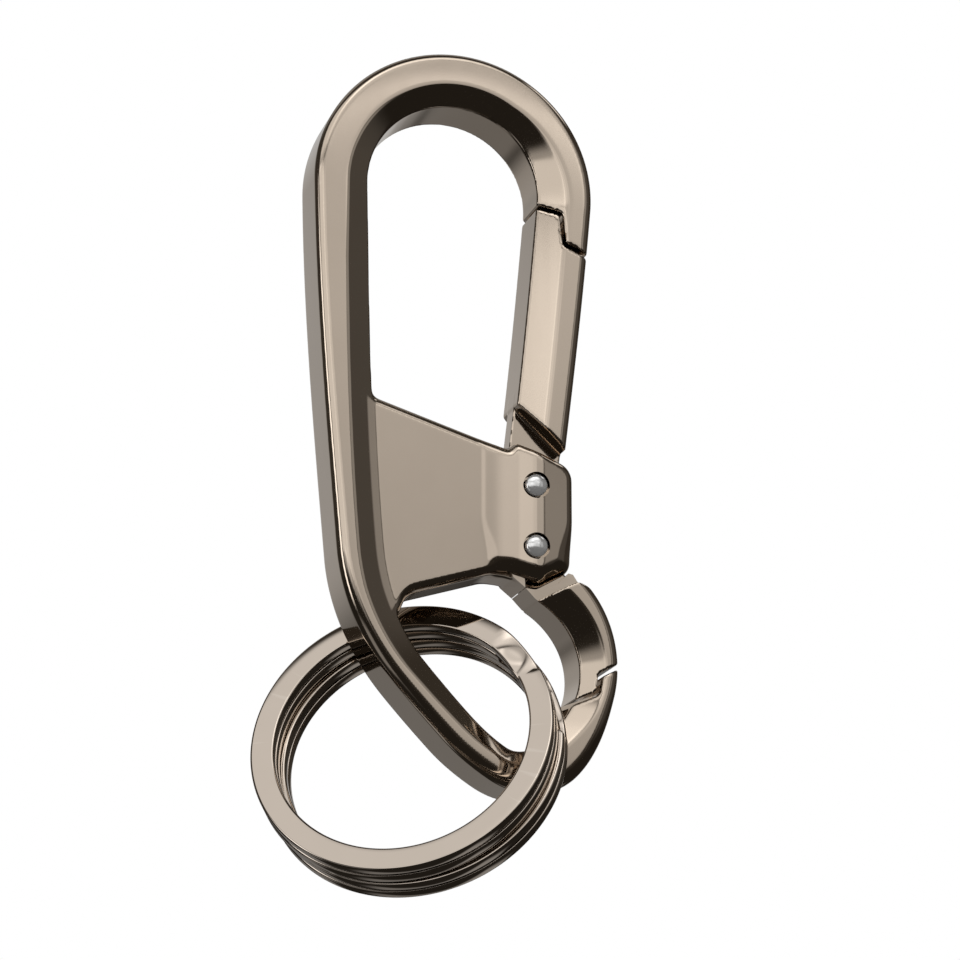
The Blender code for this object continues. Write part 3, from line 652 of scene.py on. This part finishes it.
CREST_X, RISE_SLOPE, FACET_SLOPE, CREST_BLEND = 9.5, 0.21, 0.1875, 0.3
RIM_RADIUS, RIM_GROWTH, RIM_GROWS_FROM, RIM_GROWS_OVER = 0.8, 1.2, -45.5, 5.0


def house_body(outline, x, z, depth):
    """The hinge housing: a long rise to its crest, then a falling facet, rounder at its lower rim."""
    rise = (depth - HALF_DEPTH - (x - CREST_X) * RISE_SLOPE) / math.hypot(1.0, RISE_SLOPE)
    facet = (depth - HALF_DEPTH + (x - CREST_X) * FACET_SLOPE) / math.hypot(1.0, FACET_SLOPE)
    top = soft_max(rise, facet, CREST_BLEND)
    lower = np.clip((RIM_GROWS_FROM - z) / RIM_GROWS_OVER, 0.0, 1.0)
    return round_corner(outline, top, RIM_RADIUS + RIM_GROWTH * lower * lower * (3 - 2 * lower))


plate_edge = outline_field(PLATE_OUTLINE)
house_edge = outline_field(HOUSE_OUTLINE)
frame_bar = bar_field(MAIN_NOSE_FROM, KEY_NOSE_TO)
main_bar = bar_field(0.0, MAIN_GATE_TO)
key_bar = bar_field(KEY_GATE_FROM, FULL_LENGTH)
main_nose_field = outline_field(MAIN_NOSE_CUT)
key_nose_field = outline_field(KEY_NOSE_CUT)
main_gate_field = outline_field(MAIN_GATE_CUT)
key_gate_field = outline_field(KEY_GATE_CUT)
main_end_field = outline_field(MAIN_END_CUT)
key_end_field = outline_field(KEY_END_CUT)
main_tongue_field = outline_field(MAIN_TONGUE)
key_tongue_field = outline_field(KEY_TONGUE)
PLATE_RIM, PLATE_BLEND, HOUSE_BLEND, NOSE_BLEND = 0.95, 0.4, 0.7, 0.26
GATE_BLEND, TONGUE_EDGE, TONGUE_BLEND = 0.2, 0.15, 0.12


def frame_flat(x, z):
    return (
        frame_bar(x, z), plate_edge(x, z), house_edge(x, z),
        np.minimum(main_nose_field(x, z), key_nose_field(x, z)), x, z,
    )


def frame_body(flat, depth):
    bar, plate, house, latch, x, z = flat
    bar = bar_body(bar, depth)
    plate = round_corner(plate, depth - PLATE_HALF, PLATE_RIM)
    house = house_body(house, x, z, depth)
    body = soft_min(bar, plate, PLATE_BLEND)
    body = soft_min(body, house, HOUSE_BLEND)
    return soft_max(body, -latch, NOSE_BLEND)


def main_gate_flat(x, z):
    return main_bar(x, z), main_gate_field(x, z), main_end_field(x, z), main_tongue_field(x, z)


def key_gate_flat(x, z):
    return key_bar(x, z), key_gate_field(x, z), key_end_field(x, z), key_tongue_field(x, z)


def gate_body(flat, depth):
    bar, latch, end, tongue = flat
    body = soft_max(soft_max(bar_body(bar, depth), -latch, GATE_BLEND), -end, GATE_BLEND)
    return soft_min(body, soft_max(tongue, depth - TONGUE_HALF, TONGUE_EDGE), TONGUE_BLEND)


PROBE, SETTLE_ROUNDS, LEAST_SLOPE = 0.01, 3, 0.25


def skin(name, flat_of, body_of, low, high, step):
    """The surface where the field is 0, as a mesh: a point in each grid cell that it crosses."""
    axes = [np.arange(a, b + step, step) for a, b in zip(low, high)]
    x, z = np.meshgrid(axes[0], axes[2], indexing="ij")
    flat = flat_of(x, z)
    value = np.stack([body_of(flat, abs(y)) for y in axes[1]], axis=1)
    cells = tuple(n - 1 for n in value.shape)
    total = np.zeros((*cells, 3))
    count = np.zeros(cells)
    crossings = []
    for axis in range(3):
        near = np.take(value, range(cells[axis]), axis=axis)
        far = np.take(value, range(1, cells[axis] + 1), axis=axis)
        crossed = (near < 0) != (far < 0)
        spots = np.argwhere(crossed)
        where = spots.astype(float)
        where[:, axis] += near[crossed] / (near[crossed] - far[crossed])
        first, second = [other for other in range(3) if other != axis]
        for down_first in (0, 1):
            for down_second in (0, 1):
                cell = spots.copy()
                cell[:, first] -= down_first
                cell[:, second] -= down_second
                fits = ((cell >= 0) & (cell < cells)).all(axis=1)
                at = tuple(cell[fits].T)
                np.add.at(total, at, where[fits])
                np.add.at(count, at, 1)
        crossings.append((axis, first, second, spots, near[crossed] < 0))
    number = np.full(cells, -1)
    active = np.argwhere(count > 0)
    number[tuple(active.T)] = np.arange(len(active))
    points = total[tuple(active.T)] / count[tuple(active.T)][:, None] * step + np.array(low)
    faces = []
    for axis, first, second, spots, leaves in crossings:
        inner = (spots[:, first] > 0) & (spots[:, second] > 0)
        inner &= (spots[:, first] < cells[first]) & (spots[:, second] < cells[second])
        spots, leaves = spots[inner], leaves[inner]
        corner = []
        for down_first, down_second in ((0, 0), (1, 0), (1, 1), (0, 1)):
            cell = spots.copy()
            cell[:, first] -= down_first
            cell[:, second] -= down_second
            corner.append(number[tuple(cell.T)])
        quad = np.stack(corner, axis=1)
        turned = leaves if axis != 1 else ~leaves
        faces.append(np.where(turned[:, None], quad, quad[:, ::-1]))
    faces = np.concatenate(faces)

    def at(p):
        return body_of(flat_of(p[:, 0], p[:, 2]), np.abs(p[:, 1]))

    for _ in range(SETTLE_ROUNDS):
        here = at(points)
        slope = np.stack(
            [(at(points + PROBE * e) - at(points - PROBE * e)) / (2 * PROBE) for e in np.eye(3)], axis=1
        )
        strength = np.maximum((slope**2).sum(axis=1), LEAST_SLOPE)
        move = -(here / strength)[:, None] * slope
        size = np.linalg.norm(move, axis=1, keepdims=True)
        points = points + move * np.minimum(1.0, 0.5 * step / np.maximum(size, 1e-9))
    mesh = bpy.data.meshes.new(name)
    mesh.from_pydata((points * MM).tolist(), [], faces.tolist())
    mesh.update()
    return mesh


# Pieces.
def solid_between(name, first, second):
    """A closed solid between two matching rings of points, given in millimetres."""
    work = bmesh.new()
    low = [work.verts.new([c * MM for c in point]) for point in first]
    high = [work.verts.new([c * MM for c in point]) for point in second]
    for i in range(len(low)):
        j = (i + 1) % len(low)
        work.faces.new((low[i], low[j], high[j], high[i]))
    work.faces.new(low)
    work.faces.new(high)
    bmesh.ops.recalc_face_normals(work, faces=work.faces)
    mesh = bpy.data.meshes.new(name)
    work.to_mesh(mesh)
    work.free()
    return mesh


def prism(name, corners, half_depth):
    """An outline in the XZ plane, extruded to both sides."""
    outline = rounded(corners)
    return solid_between(name, *([(x, y, z) for x, z in outline] for y in (-half_depth, half_depth)))


def wheel(radius, steps):
    angles = (2 * math.pi * i / steps for i in range(steps))
    return [(radius * math.cos(a), radius * math.sin(a)) for a in angles]


def drum_along_y(name, centre, radius, low, high):
    """A round cutter across the thickness."""
    rim = wheel(radius, 64)
    return solid_between(name, *([(centre[0] + u, y, centre[1] + v) for u, v in rim] for y in (low, high)))


def drum_along_x(name, z, radius, low, high):
    """A round cutter from left to right, at the middle of the thickness."""
    rim = wheel(radius, 32)
    return solid_between(name, *([(x, u, z + v) for u, v in rim] for x in (low, high)))


def carved(name, mesh, cutters, joined=()):
    """The mesh with the joined pieces, less each cutter, as a new mesh."""
    target = bpy.data.objects.new(name, mesh)
    bpy.context.scene.collection.objects.link(target)
    tools = []
    for cutter in (*joined, *cutters):
        tool = bpy.data.objects.new(cutter.name, cutter)
        bpy.context.scene.collection.objects.link(tool)
        cut = target.modifiers.new(cutter.name, "BOOLEAN")
        cut.operation = "UNION" if cutter in joined else "DIFFERENCE"
        cut.solver = "EXACT"
        cut.object = tool
        tools.append(tool)
    graph = bpy.context.evaluated_depsgraph_get()
    result = bpy.data.meshes.new_from_object(target.evaluated_get(graph))
    for obj in (target, *tools):
        bpy.data.objects.remove(obj, do_unlink=True)
    return result


SKIN_CREASE = 38


def finish_piece(name, mesh, material, body, nodes, crease=SKIN_CREASE):
    """A finished piece: smooth but for its sharp corners, riding on its body in place of its nodes."""
    work = bmesh.new()
    work.from_mesh(mesh)
    bmesh.ops.remove_doubles(work, verts=work.verts, dist=1e-6)
    for face in work.faces:
        face.smooth = True
        face.material_index = 0
    for edge in work.edges:
        turn = edge.calc_face_angle(0.0) if len(edge.link_faces) == 2 else 0.0
        edge.smooth = turn < math.radians(crease)
    work.to_mesh(mesh)
    work.free()
    mesh.name = name
    mesh.materials.clear()
    mesh.materials.append(material)
    piece = bpy.data.objects.new(name, mesh)
    bpy.context.scene.collection.objects.link(piece)
    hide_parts(*nodes)
    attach(piece, body)
    return piece


# The casting: its skin, then the slot, bores, seats and spring holes cut out of it.
BORE_RADIUS, SEAT_RADIUS, SEAT_FLOOR, THROUGH = 1.1, 1.44, 2.7, 7.0
SPRING_HOLE_RADIUS, SPRING_HOLE_END = 0.95, 0.6
OPEN_ANGLE, ASIDE, RELIEF_FROM, RELIEF_TO, RELIEF_RISE = math.radians(20.0), 0.38, 2.2, 7.5, 2.2
RELIEF_X = 8.1
SPRING_Z = {"main": MAIN_PIN_Z + SPRING_OFFSET, "key": KEY_PIN_Z - SPRING_OFFSET}

# Room in the slot's end for the main gate's tongue when the gate stands open.
main_pin = Vector((PIN_X, MAIN_PIN_Z))
tongue_edge = Vector((6.72 - PIN_X, -37.6 - MAIN_PIN_Z))
open_edge = (Matrix.Rotation(OPEN_ANGLE, 2) @ tongue_edge).normalized()
aside = Vector((-open_edge.y, open_edge.x)) * ASIDE
relief_near = main_pin + open_edge * RELIEF_FROM + aside
relief_far = main_pin + open_edge * RELIEF_TO + aside
relief = (
    tuple(relief_near), tuple(relief_far), (RELIEF_X, relief_far.y + RELIEF_RISE), (RELIEF_X, relief_near.y)
)
frame_cuts = [prism("slot", SLOT_OUTLINE, SLOT_HALF), prism("relief", relief, RELIEF_HALF)]
for pin_z in (MAIN_PIN_Z, KEY_PIN_Z):
    pin = (PIN_X, pin_z)
    frame_cuts.append(drum_along_y("bore", pin, BORE_RADIUS, -THROUGH, THROUGH))
    frame_cuts.append(drum_along_y("front_seat", pin, SEAT_RADIUS, -THROUGH, -SEAT_FLOOR))
    frame_cuts.append(drum_along_y("back_seat", pin, SEAT_RADIUS, SEAT_FLOOR, THROUGH))
for which, spring_z in SPRING_Z.items():
    frame_cuts.append(
        drum_along_x(f"{which}_spring_hole", spring_z, SPRING_HOLE_RADIUS, SPRING_HOLE_END, PIN_X)
    )
GRID_DEPTH, FRAME_GRID, MAIN_GATE_GRID, KEY_GATE_GRID = 4.35, 0.23, 0.17, 0.15
frame_skin = skin(
    "frame_casting", frame_flat, frame_body,
    (-15.7, -GRID_DEPTH, -75.6), (18.5, GRID_DEPTH, 6.3), FRAME_GRID,
)
finish_piece(
    "frame_casting",
    carved(
        "frame_casting", frame_skin, frame_cuts,
        [prism("toe", TOE_OUTLINE, NECK_HALF), prism("key_lip", KEY_LIP, LIP_HALF)],
    ),
    body_metal, "carabiner_body", ["frame"],
)

# The gates: each a skin with its bore, and the small one with the neck under its hinge.
for which, pin_z, gate_flat, low_z, high_z, right_x, grid_step in (
    ("main", MAIN_PIN_Z, main_gate_flat, -45.7, -10.3, 15.6, MAIN_GATE_GRID),
    ("key", KEY_PIN_Z, key_gate_flat, -65.6, -45.4, 18.6, KEY_GATE_GRID),
):
    name = f"{which}_gate_casting"
    gate_skin = skin(
        name, gate_flat, gate_body, (5.5, -GRID_DEPTH, low_z), (right_x, GRID_DEPTH, high_z), grid_step
    )
    bore = drum_along_y(f"{which}_gate_bore", (PIN_X, pin_z), BORE_RADIUS, -THROUGH, THROUGH)
    neck = [prism("neck", KEY_NECK, NECK_HALF)] if which == "key" else []
    finish_piece(
        name, carved(name, gate_skin, [bore], neck),
        body_metal, f"{which}_gate_body", [f"{which}_gate"],
    )

# Rings, rivets and springs: each a recipe of Geometry Nodes with named sizes.
FLOAT, COUNT = "NodeSocketFloat", "NodeSocketInt"
VECTOR, METAL = "NodeSocketVector", "NodeSocketMaterial"


class Recipe:
    """A Geometry Nodes tree under construction."""

    def __init__(self, name, inputs):
        self.tree = bpy.data.node_groups.new(name, "GeometryNodeTree")
        self.tree.interface.new_socket("Geometry", in_out="OUTPUT", socket_type="NodeSocketGeometry")
        self.ids = {}
        for label, kind in inputs:
            socket = self.tree.interface.new_socket(label, in_out="INPUT", socket_type=kind)
            self.ids[label] = socket.identifier
        self.start = self.tree.nodes.new("NodeGroupInput")

    def __getitem__(self, label):
        return self.start.outputs[label]

    def node(self, kind, settings=(), inputs=()):
        """The first output of a new node."""
        return add_node(self.tree, kind, settings, inputs).outputs[0]

    def math(self, operation, *values):
        return math_node(self.tree, operation, *values)

    def scaled(self, value, low, high, to_low, to_high, kind="LINEAR"):
        labels = ("Value", "From Min", "From Max", "To Min", "To Max")
        values = (value, low, high, to_low, to_high)
        return self.node("ShaderNodeMapRange", {"interpolation_type": kind}, zip(labels, values))

    def vector(self, *values):
        return self.node("ShaderNodeCombineXYZ", (), enumerate(values))

    def split(self, value):
        return add_node(self.tree, "ShaderNodeSeparateXYZ", (), {0: value}).outputs

    def vector_math(self, operation, *values):
        return self.node("ShaderNodeVectorMath", {"operation": operation}, enumerate(values))

    def placed(self, shape, position):
        return self.node("GeometryNodeSetPosition", (), {"Geometry": shape, "Position": position})

    def line(self, count):
        """A straight line of points, with the share of each along it."""
        straight = self.node("GeometryNodeCurvePrimitiveLine")
        points = self.node(
            "GeometryNodeResampleCurve", {"mode": "COUNT"}, {"Curve": straight, "Count": count}
        )
        return points, self.node("GeometryNodeSplineParameter")

    def finish(self, shape):
        real = self.node("GeometryNodeRealizeInstances", (), {"Geometry": shape})
        dressed = self.node(
            "GeometryNodeSetMaterial", (), {"Geometry": real, "Material": self["Metal"]}
        )
        add_node(self.tree, "NodeGroupOutput", (), {"Geometry": dressed})

    def make(self, name, values):
        """The recipe's result for these values, as a plain mesh."""
        obj = bpy.data.objects.new(name, bpy.data.meshes.new(name))
        bpy.context.scene.collection.objects.link(obj)
        modifier = obj.modifiers.new(name, "NODES")
        modifier.node_group = self.tree
        for label, value in values.items():
            modifier[self.ids[label]] = value
        graph = bpy.context.evaluated_depsgraph_get()
        mesh = bpy.data.meshes.new_from_object(obj.evaluated_get(graph))
        bpy.data.objects.remove(obj, do_unlink=True)
        work = bmesh.new()
        work.from_mesh(mesh)
        bmesh.ops.remove_doubles(work, verts=work.verts, dist=1e-7)
        bmesh.ops.recalc_face_normals(work, faces=work.faces)
        work.to_mesh(mesh)
        work.free()
        return mesh


def ring_recipe():
    """Flat wire with round edges, wound twice, with a step back before the wire comes round again."""
    r = Recipe("split_ring", (
        ("Radius", FLOAT), ("Width", FLOAT), ("Leaf", FLOAT), ("Gap", FLOAT), ("Edge", FLOAT),
        ("End Angle", FLOAT), ("Turn", FLOAT), ("Step From", FLOAT), ("Step To", FLOAT),
        ("End Ease", FLOAT), ("Ease Turn", FLOAT), ("Sections", COUNT),
        ("Centre", VECTOR), ("Right", VECTOR), ("Up", VECTOR), ("Facing", VECTOR), ("Metal", METAL),
    ))
    points, share = r.line(r["Sections"])
    along = r.math("MULTIPLY", share, r["Turn"])
    angle = r.math("SUBTRACT", r["End Angle"], along)
    pitch = r.math("ADD", r["Leaf"], r["Gap"])
    back = r.scaled(along, r["Step From"], r["Step To"], 0.0, pitch, "SMOOTHSTEP")
    middle = r.math("SUBTRACT", r["Radius"], r.math("MULTIPLY", r["Width"], 0.5))
    depth = r.math("MULTIPLY_ADD", r["Leaf"], 0.5, back)
    place = r.vector(
        r.math("MULTIPLY", middle, r.math("COSINE", angle)),
        r.math("MULTIPLY", middle, r.math("SINE", angle)),
        r.math("MULTIPLY", depth, -1.0),
    )
    marked = r.node(
        "GeometryNodeStoreNamedAttribute", {"data_type": "FLOAT", "domain": "POINT"},
        {"Geometry": points, "Name": "along", "Value": along},
    )
    wound = r.node("GeometryNodeSetCurveNormal", {"mode": "Z_UP"}, {"Curve": r.placed(marked, place)})
    flat = r.node(
        "GeometryNodeCurvePrimitiveQuadrilateral", (), {"Width": r["Width"], "Height": r["Leaf"]}
    )
    eased = r.node(
        "GeometryNodeFilletCurve", {"mode": "POLY"}, {"Curve": flat, "Count": 5, "Radius": r["Edge"]}
    )
    swept = r.node(
        "GeometryNodeCurveToMesh", (), {"Curve": wound, "Profile Curve": eased, "Fill Caps": True}
    )
    at = r.split(r.node("GeometryNodeInputPosition"))
    squares = r.math("MULTIPLY_ADD", at["X"], at["X"], r.math("MULTIPLY", at["Y"], at["Y"]))
    reach = r.math("SQRT", squares)
    inner = r.math("SUBTRACT", r["Radius"], r["Width"])
    outer_share = r.scaled(reach, inner, r["Radius"], 0.0, 1.0)
    run = r.node("GeometryNodeInputNamedAttribute", {"data_type": "FLOAT"}, {"Name": "along"})
    to_end = r.math("MINIMUM", run, r.math("SUBTRACT", r["Turn"], run))
    near = r.scaled(to_end, 0.0, r["Ease Turn"], 1.0, 0.0)
    easing = r.math("MULTIPLY", r["End Ease"], outer_share)
    drawn = r.math("MULTIPLY", r.math("MULTIPLY", near, near), easing)
    keep = r.math("SUBTRACT", 1.0, r.math("DIVIDE", drawn, reach))
    across = r.vector_math("SCALE", r["Right"])
    rise = r.vector_math("SCALE", r["Up"])
    ahead = r.vector_math("SCALE", r["Facing"])
    for scaled_by, amount in (
        (across, r.math("MULTIPLY", at["X"], keep)),
        (rise, r.math("MULTIPLY", at["Y"], keep)),
        (ahead, at["Z"]),
    ):
        r.tree.links.new(amount, scaled_by.node.inputs["Scale"])
    sideways = r.vector_math("ADD", across, rise)
    inward = r.vector_math("ADD", ahead, r["Centre"])
    r.finish(r.placed(swept, r.vector_math("ADD", sideways, inward)))
    return r


# Shares of the way from a rivet's middle to its end where its head and its dome begin.
HEAD_FROM, JUST_BEFORE_HEAD, DOME_FROM = 0.4, 0.39, 0.5


def rivet_recipe():
    """Two turned rivets, domed at both ends, one at each hinge."""
    r = Recipe("rivets", (
        ("Head Radius", FLOAT), ("Shank Radius", FLOAT), ("Head Under", FLOAT), ("Dome Foot", FLOAT),
        ("Dome Top", FLOAT), ("First", VECTOR), ("Second", VECTOR), ("Metal", METAL),
    ))
    sheet = r.node(
        "GeometryNodeMeshGrid", (), {"Size X": 1.0, "Size Y": 1.0, "Vertices X": 65, "Vertices Y": 97}
    )
    at = r.split(r.node("GeometryNodeInputPosition"))
    turn = r.math("MULTIPLY", at["X"], 2 * math.pi)
    end_share = r.math("MULTIPLY", r.math("ABSOLUTE", at["Y"]), 2.0)
    bend = r.scaled(end_share, 1.0, DOME_FROM, 0.0, math.pi / 2)
    dome = r.math("SUBTRACT", r["Dome Top"], r["Dome Foot"])
    height = r.math("MULTIPLY_ADD", dome, r.math("COSINE", bend), r["Dome Foot"])
    head_height = r.math("SUBTRACT", r["Dome Foot"], r["Head Under"])
    flank = r.scaled(end_share, DOME_FROM, HEAD_FROM, 0.0, head_height)
    shank = r.scaled(end_share, HEAD_FROM, 0.0, 0.0, r["Head Under"])
    depth = r.math("SUBTRACT", r.math("SUBTRACT", height, flank), shank)
    side = r.math("SIGN", at["Y"])
    is_head = r.math("GREATER_THAN", end_share, JUST_BEFORE_HEAD)
    radius = r.scaled(
        is_head, 0.0, 1.0, r["Shank Radius"], r.math("MULTIPLY", r["Head Radius"], r.math("SINE", bend))
    )
    place = r.vector(
        r.math("MULTIPLY", radius, r.math("COSINE", turn)),
        r.math("MULTIPLY", depth, side),
        r.math("MULTIPLY", radius, r.math("SINE", turn)),
    )
    turned = r.node(
        "GeometryNodeMergeByDistance", (), {"Geometry": r.placed(sheet, place), "Distance": 1e-6}
    )
    step = r.vector_math("SUBTRACT", r["Second"], r["First"])
    spots = r.node(
        "GeometryNodeMeshLine", {"mode": "OFFSET"},
        {"Count": 2, "Start Location": r["First"], "Offset": step},
    )
    r.finish(r.node("GeometryNodeInstanceOnPoints", (), {"Points": spots, "Instance": turned}))
    return r


def coil_recipe():
    """A round wire wound along X."""
    r = Recipe("gate_coil", (
        ("From", VECTOR), ("Length", FLOAT), ("Curls", FLOAT), ("Radius", FLOAT), ("Wire Radius", FLOAT),
        ("Sections", COUNT), ("Metal", METAL),
    ))
    points, share = r.line(r["Sections"])
    angle = r.math("MULTIPLY", r.math("MULTIPLY", share, r["Curls"]), 2 * math.pi)
    place = r.vector_math("ADD", r["From"], r.vector(
        r.math("MULTIPLY", share, r["Length"]),
        r.math("MULTIPLY", r["Radius"], r.math("COSINE", angle)),
        r.math("MULTIPLY", r["Radius"], r.math("SINE", angle)),
    ))
    wire = r.node(
        "GeometryNodeCurvePrimitiveCircle", (), {"Resolution": 12, "Radius": r["Wire Radius"]}
    )
    r.finish(r.node(
        "GeometryNodeCurveToMesh", (),
        {"Curve": r.placed(points, place), "Profile Curve": wire, "Fill Caps": True},
    ))
    return r


# The rings hang turned to the left and tipped back; each starts at its own end angle.
RING_SIDE, RING_UP = math.radians(28.2), math.radians(21.8)
FACING = Vector((
    -math.sin(RING_SIDE) * math.cos(RING_UP), -math.cos(RING_SIDE) * math.cos(RING_UP), math.sin(RING_UP)
))
RIGHT = Vector((0.0, 0.0, 1.0)).cross(FACING).normalized()
STEP_FROM, STEP_TO = math.radians(336.0), math.radians(357.0)
RING_TURN = math.radians(701.0)
RING_CREASE, RING_SECTIONS = 50, 1200
SPLIT_RING = ring_recipe()
for which, centre, end_angle in (
    ("front", (-5.22, -2.257, -69.39), 28.5),
    ("rear", (-3.51, -0.168, -70.62), 7.0),
):
    ring_mesh = SPLIT_RING.make(f"{which}_split_ring", {
        "Radius": 16.045 * MM, "Width": 2.55 * MM, "Leaf": 1.2 * MM, "Gap": 0.3 * MM,
        "Edge": 0.26 * MM, "End Angle": math.radians(end_angle), "Turn": RING_TURN,
        "Step From": STEP_FROM, "Step To": STEP_TO,
        "End Ease": 0.55 * MM, "Ease Turn": math.radians(2.2), "Sections": RING_SECTIONS,
        "Centre": [c * MM for c in centre], "Right": RIGHT, "Up": FACING.cross(RIGHT), "Facing": FACING,
        "Metal": ring_metal,
    })
    finish_piece(
        f"{which}_split_ring", ring_mesh, ring_metal, f"{which}_ring_body",
        [f"{which}_ring"], RING_CREASE,
    )

rivets = rivet_recipe().make("gate_rivets", {
    "Head Radius": 1.18 * MM, "Shank Radius": 0.8 * MM, "Head Under": 3.4 * MM, "Dome Foot": 3.72 * MM,
    "Dome Top": 4.25 * MM, "First": (PIN_X * MM, 0.0, MAIN_PIN_Z * MM),
    "Second": (PIN_X * MM, 0.0, KEY_PIN_Z * MM), "Metal": rivet_metal,
})
finish_piece(
    "gate_rivets", rivets, rivet_metal, "carabiner_body", ["main_gate_pin", "key_gate_pin"]
)

GATE_COIL = coil_recipe()
COIL_FROM, COIL_RADIUS, WIRE_RADIUS, COIL_PITCH, COIL_SECTIONS = 0.95, 0.46, 0.17, 0.86, 200
# Each spring: where its wire ends when the gate is shut, and the share of its length left when it is open.
for which, coil_to, keep in (("main", 6.05, 0.86), ("key", 6.8, 0.95)):
    coil_z = SPRING_Z[which]
    length = coil_to - COIL_FROM - 2 * WIRE_RADIUS
    coil_mesh = GATE_COIL.make(f"{which}_gate_coil", {
        "From": ((COIL_FROM + WIRE_RADIUS) * MM, 0.0, coil_z * MM), "Length": length * MM,
        "Curls": length / COIL_PITCH, "Radius": COIL_RADIUS * MM, "Wire Radius": WIRE_RADIUS * MM,
        "Sections": COIL_SECTIONS, "Metal": spring_metal,
    })
    coil = finish_piece(
        f"{which}_gate_coil", coil_mesh, spring_metal, "carabiner_body",
        [f"{which}_gate_spring"],
    )
    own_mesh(coil)
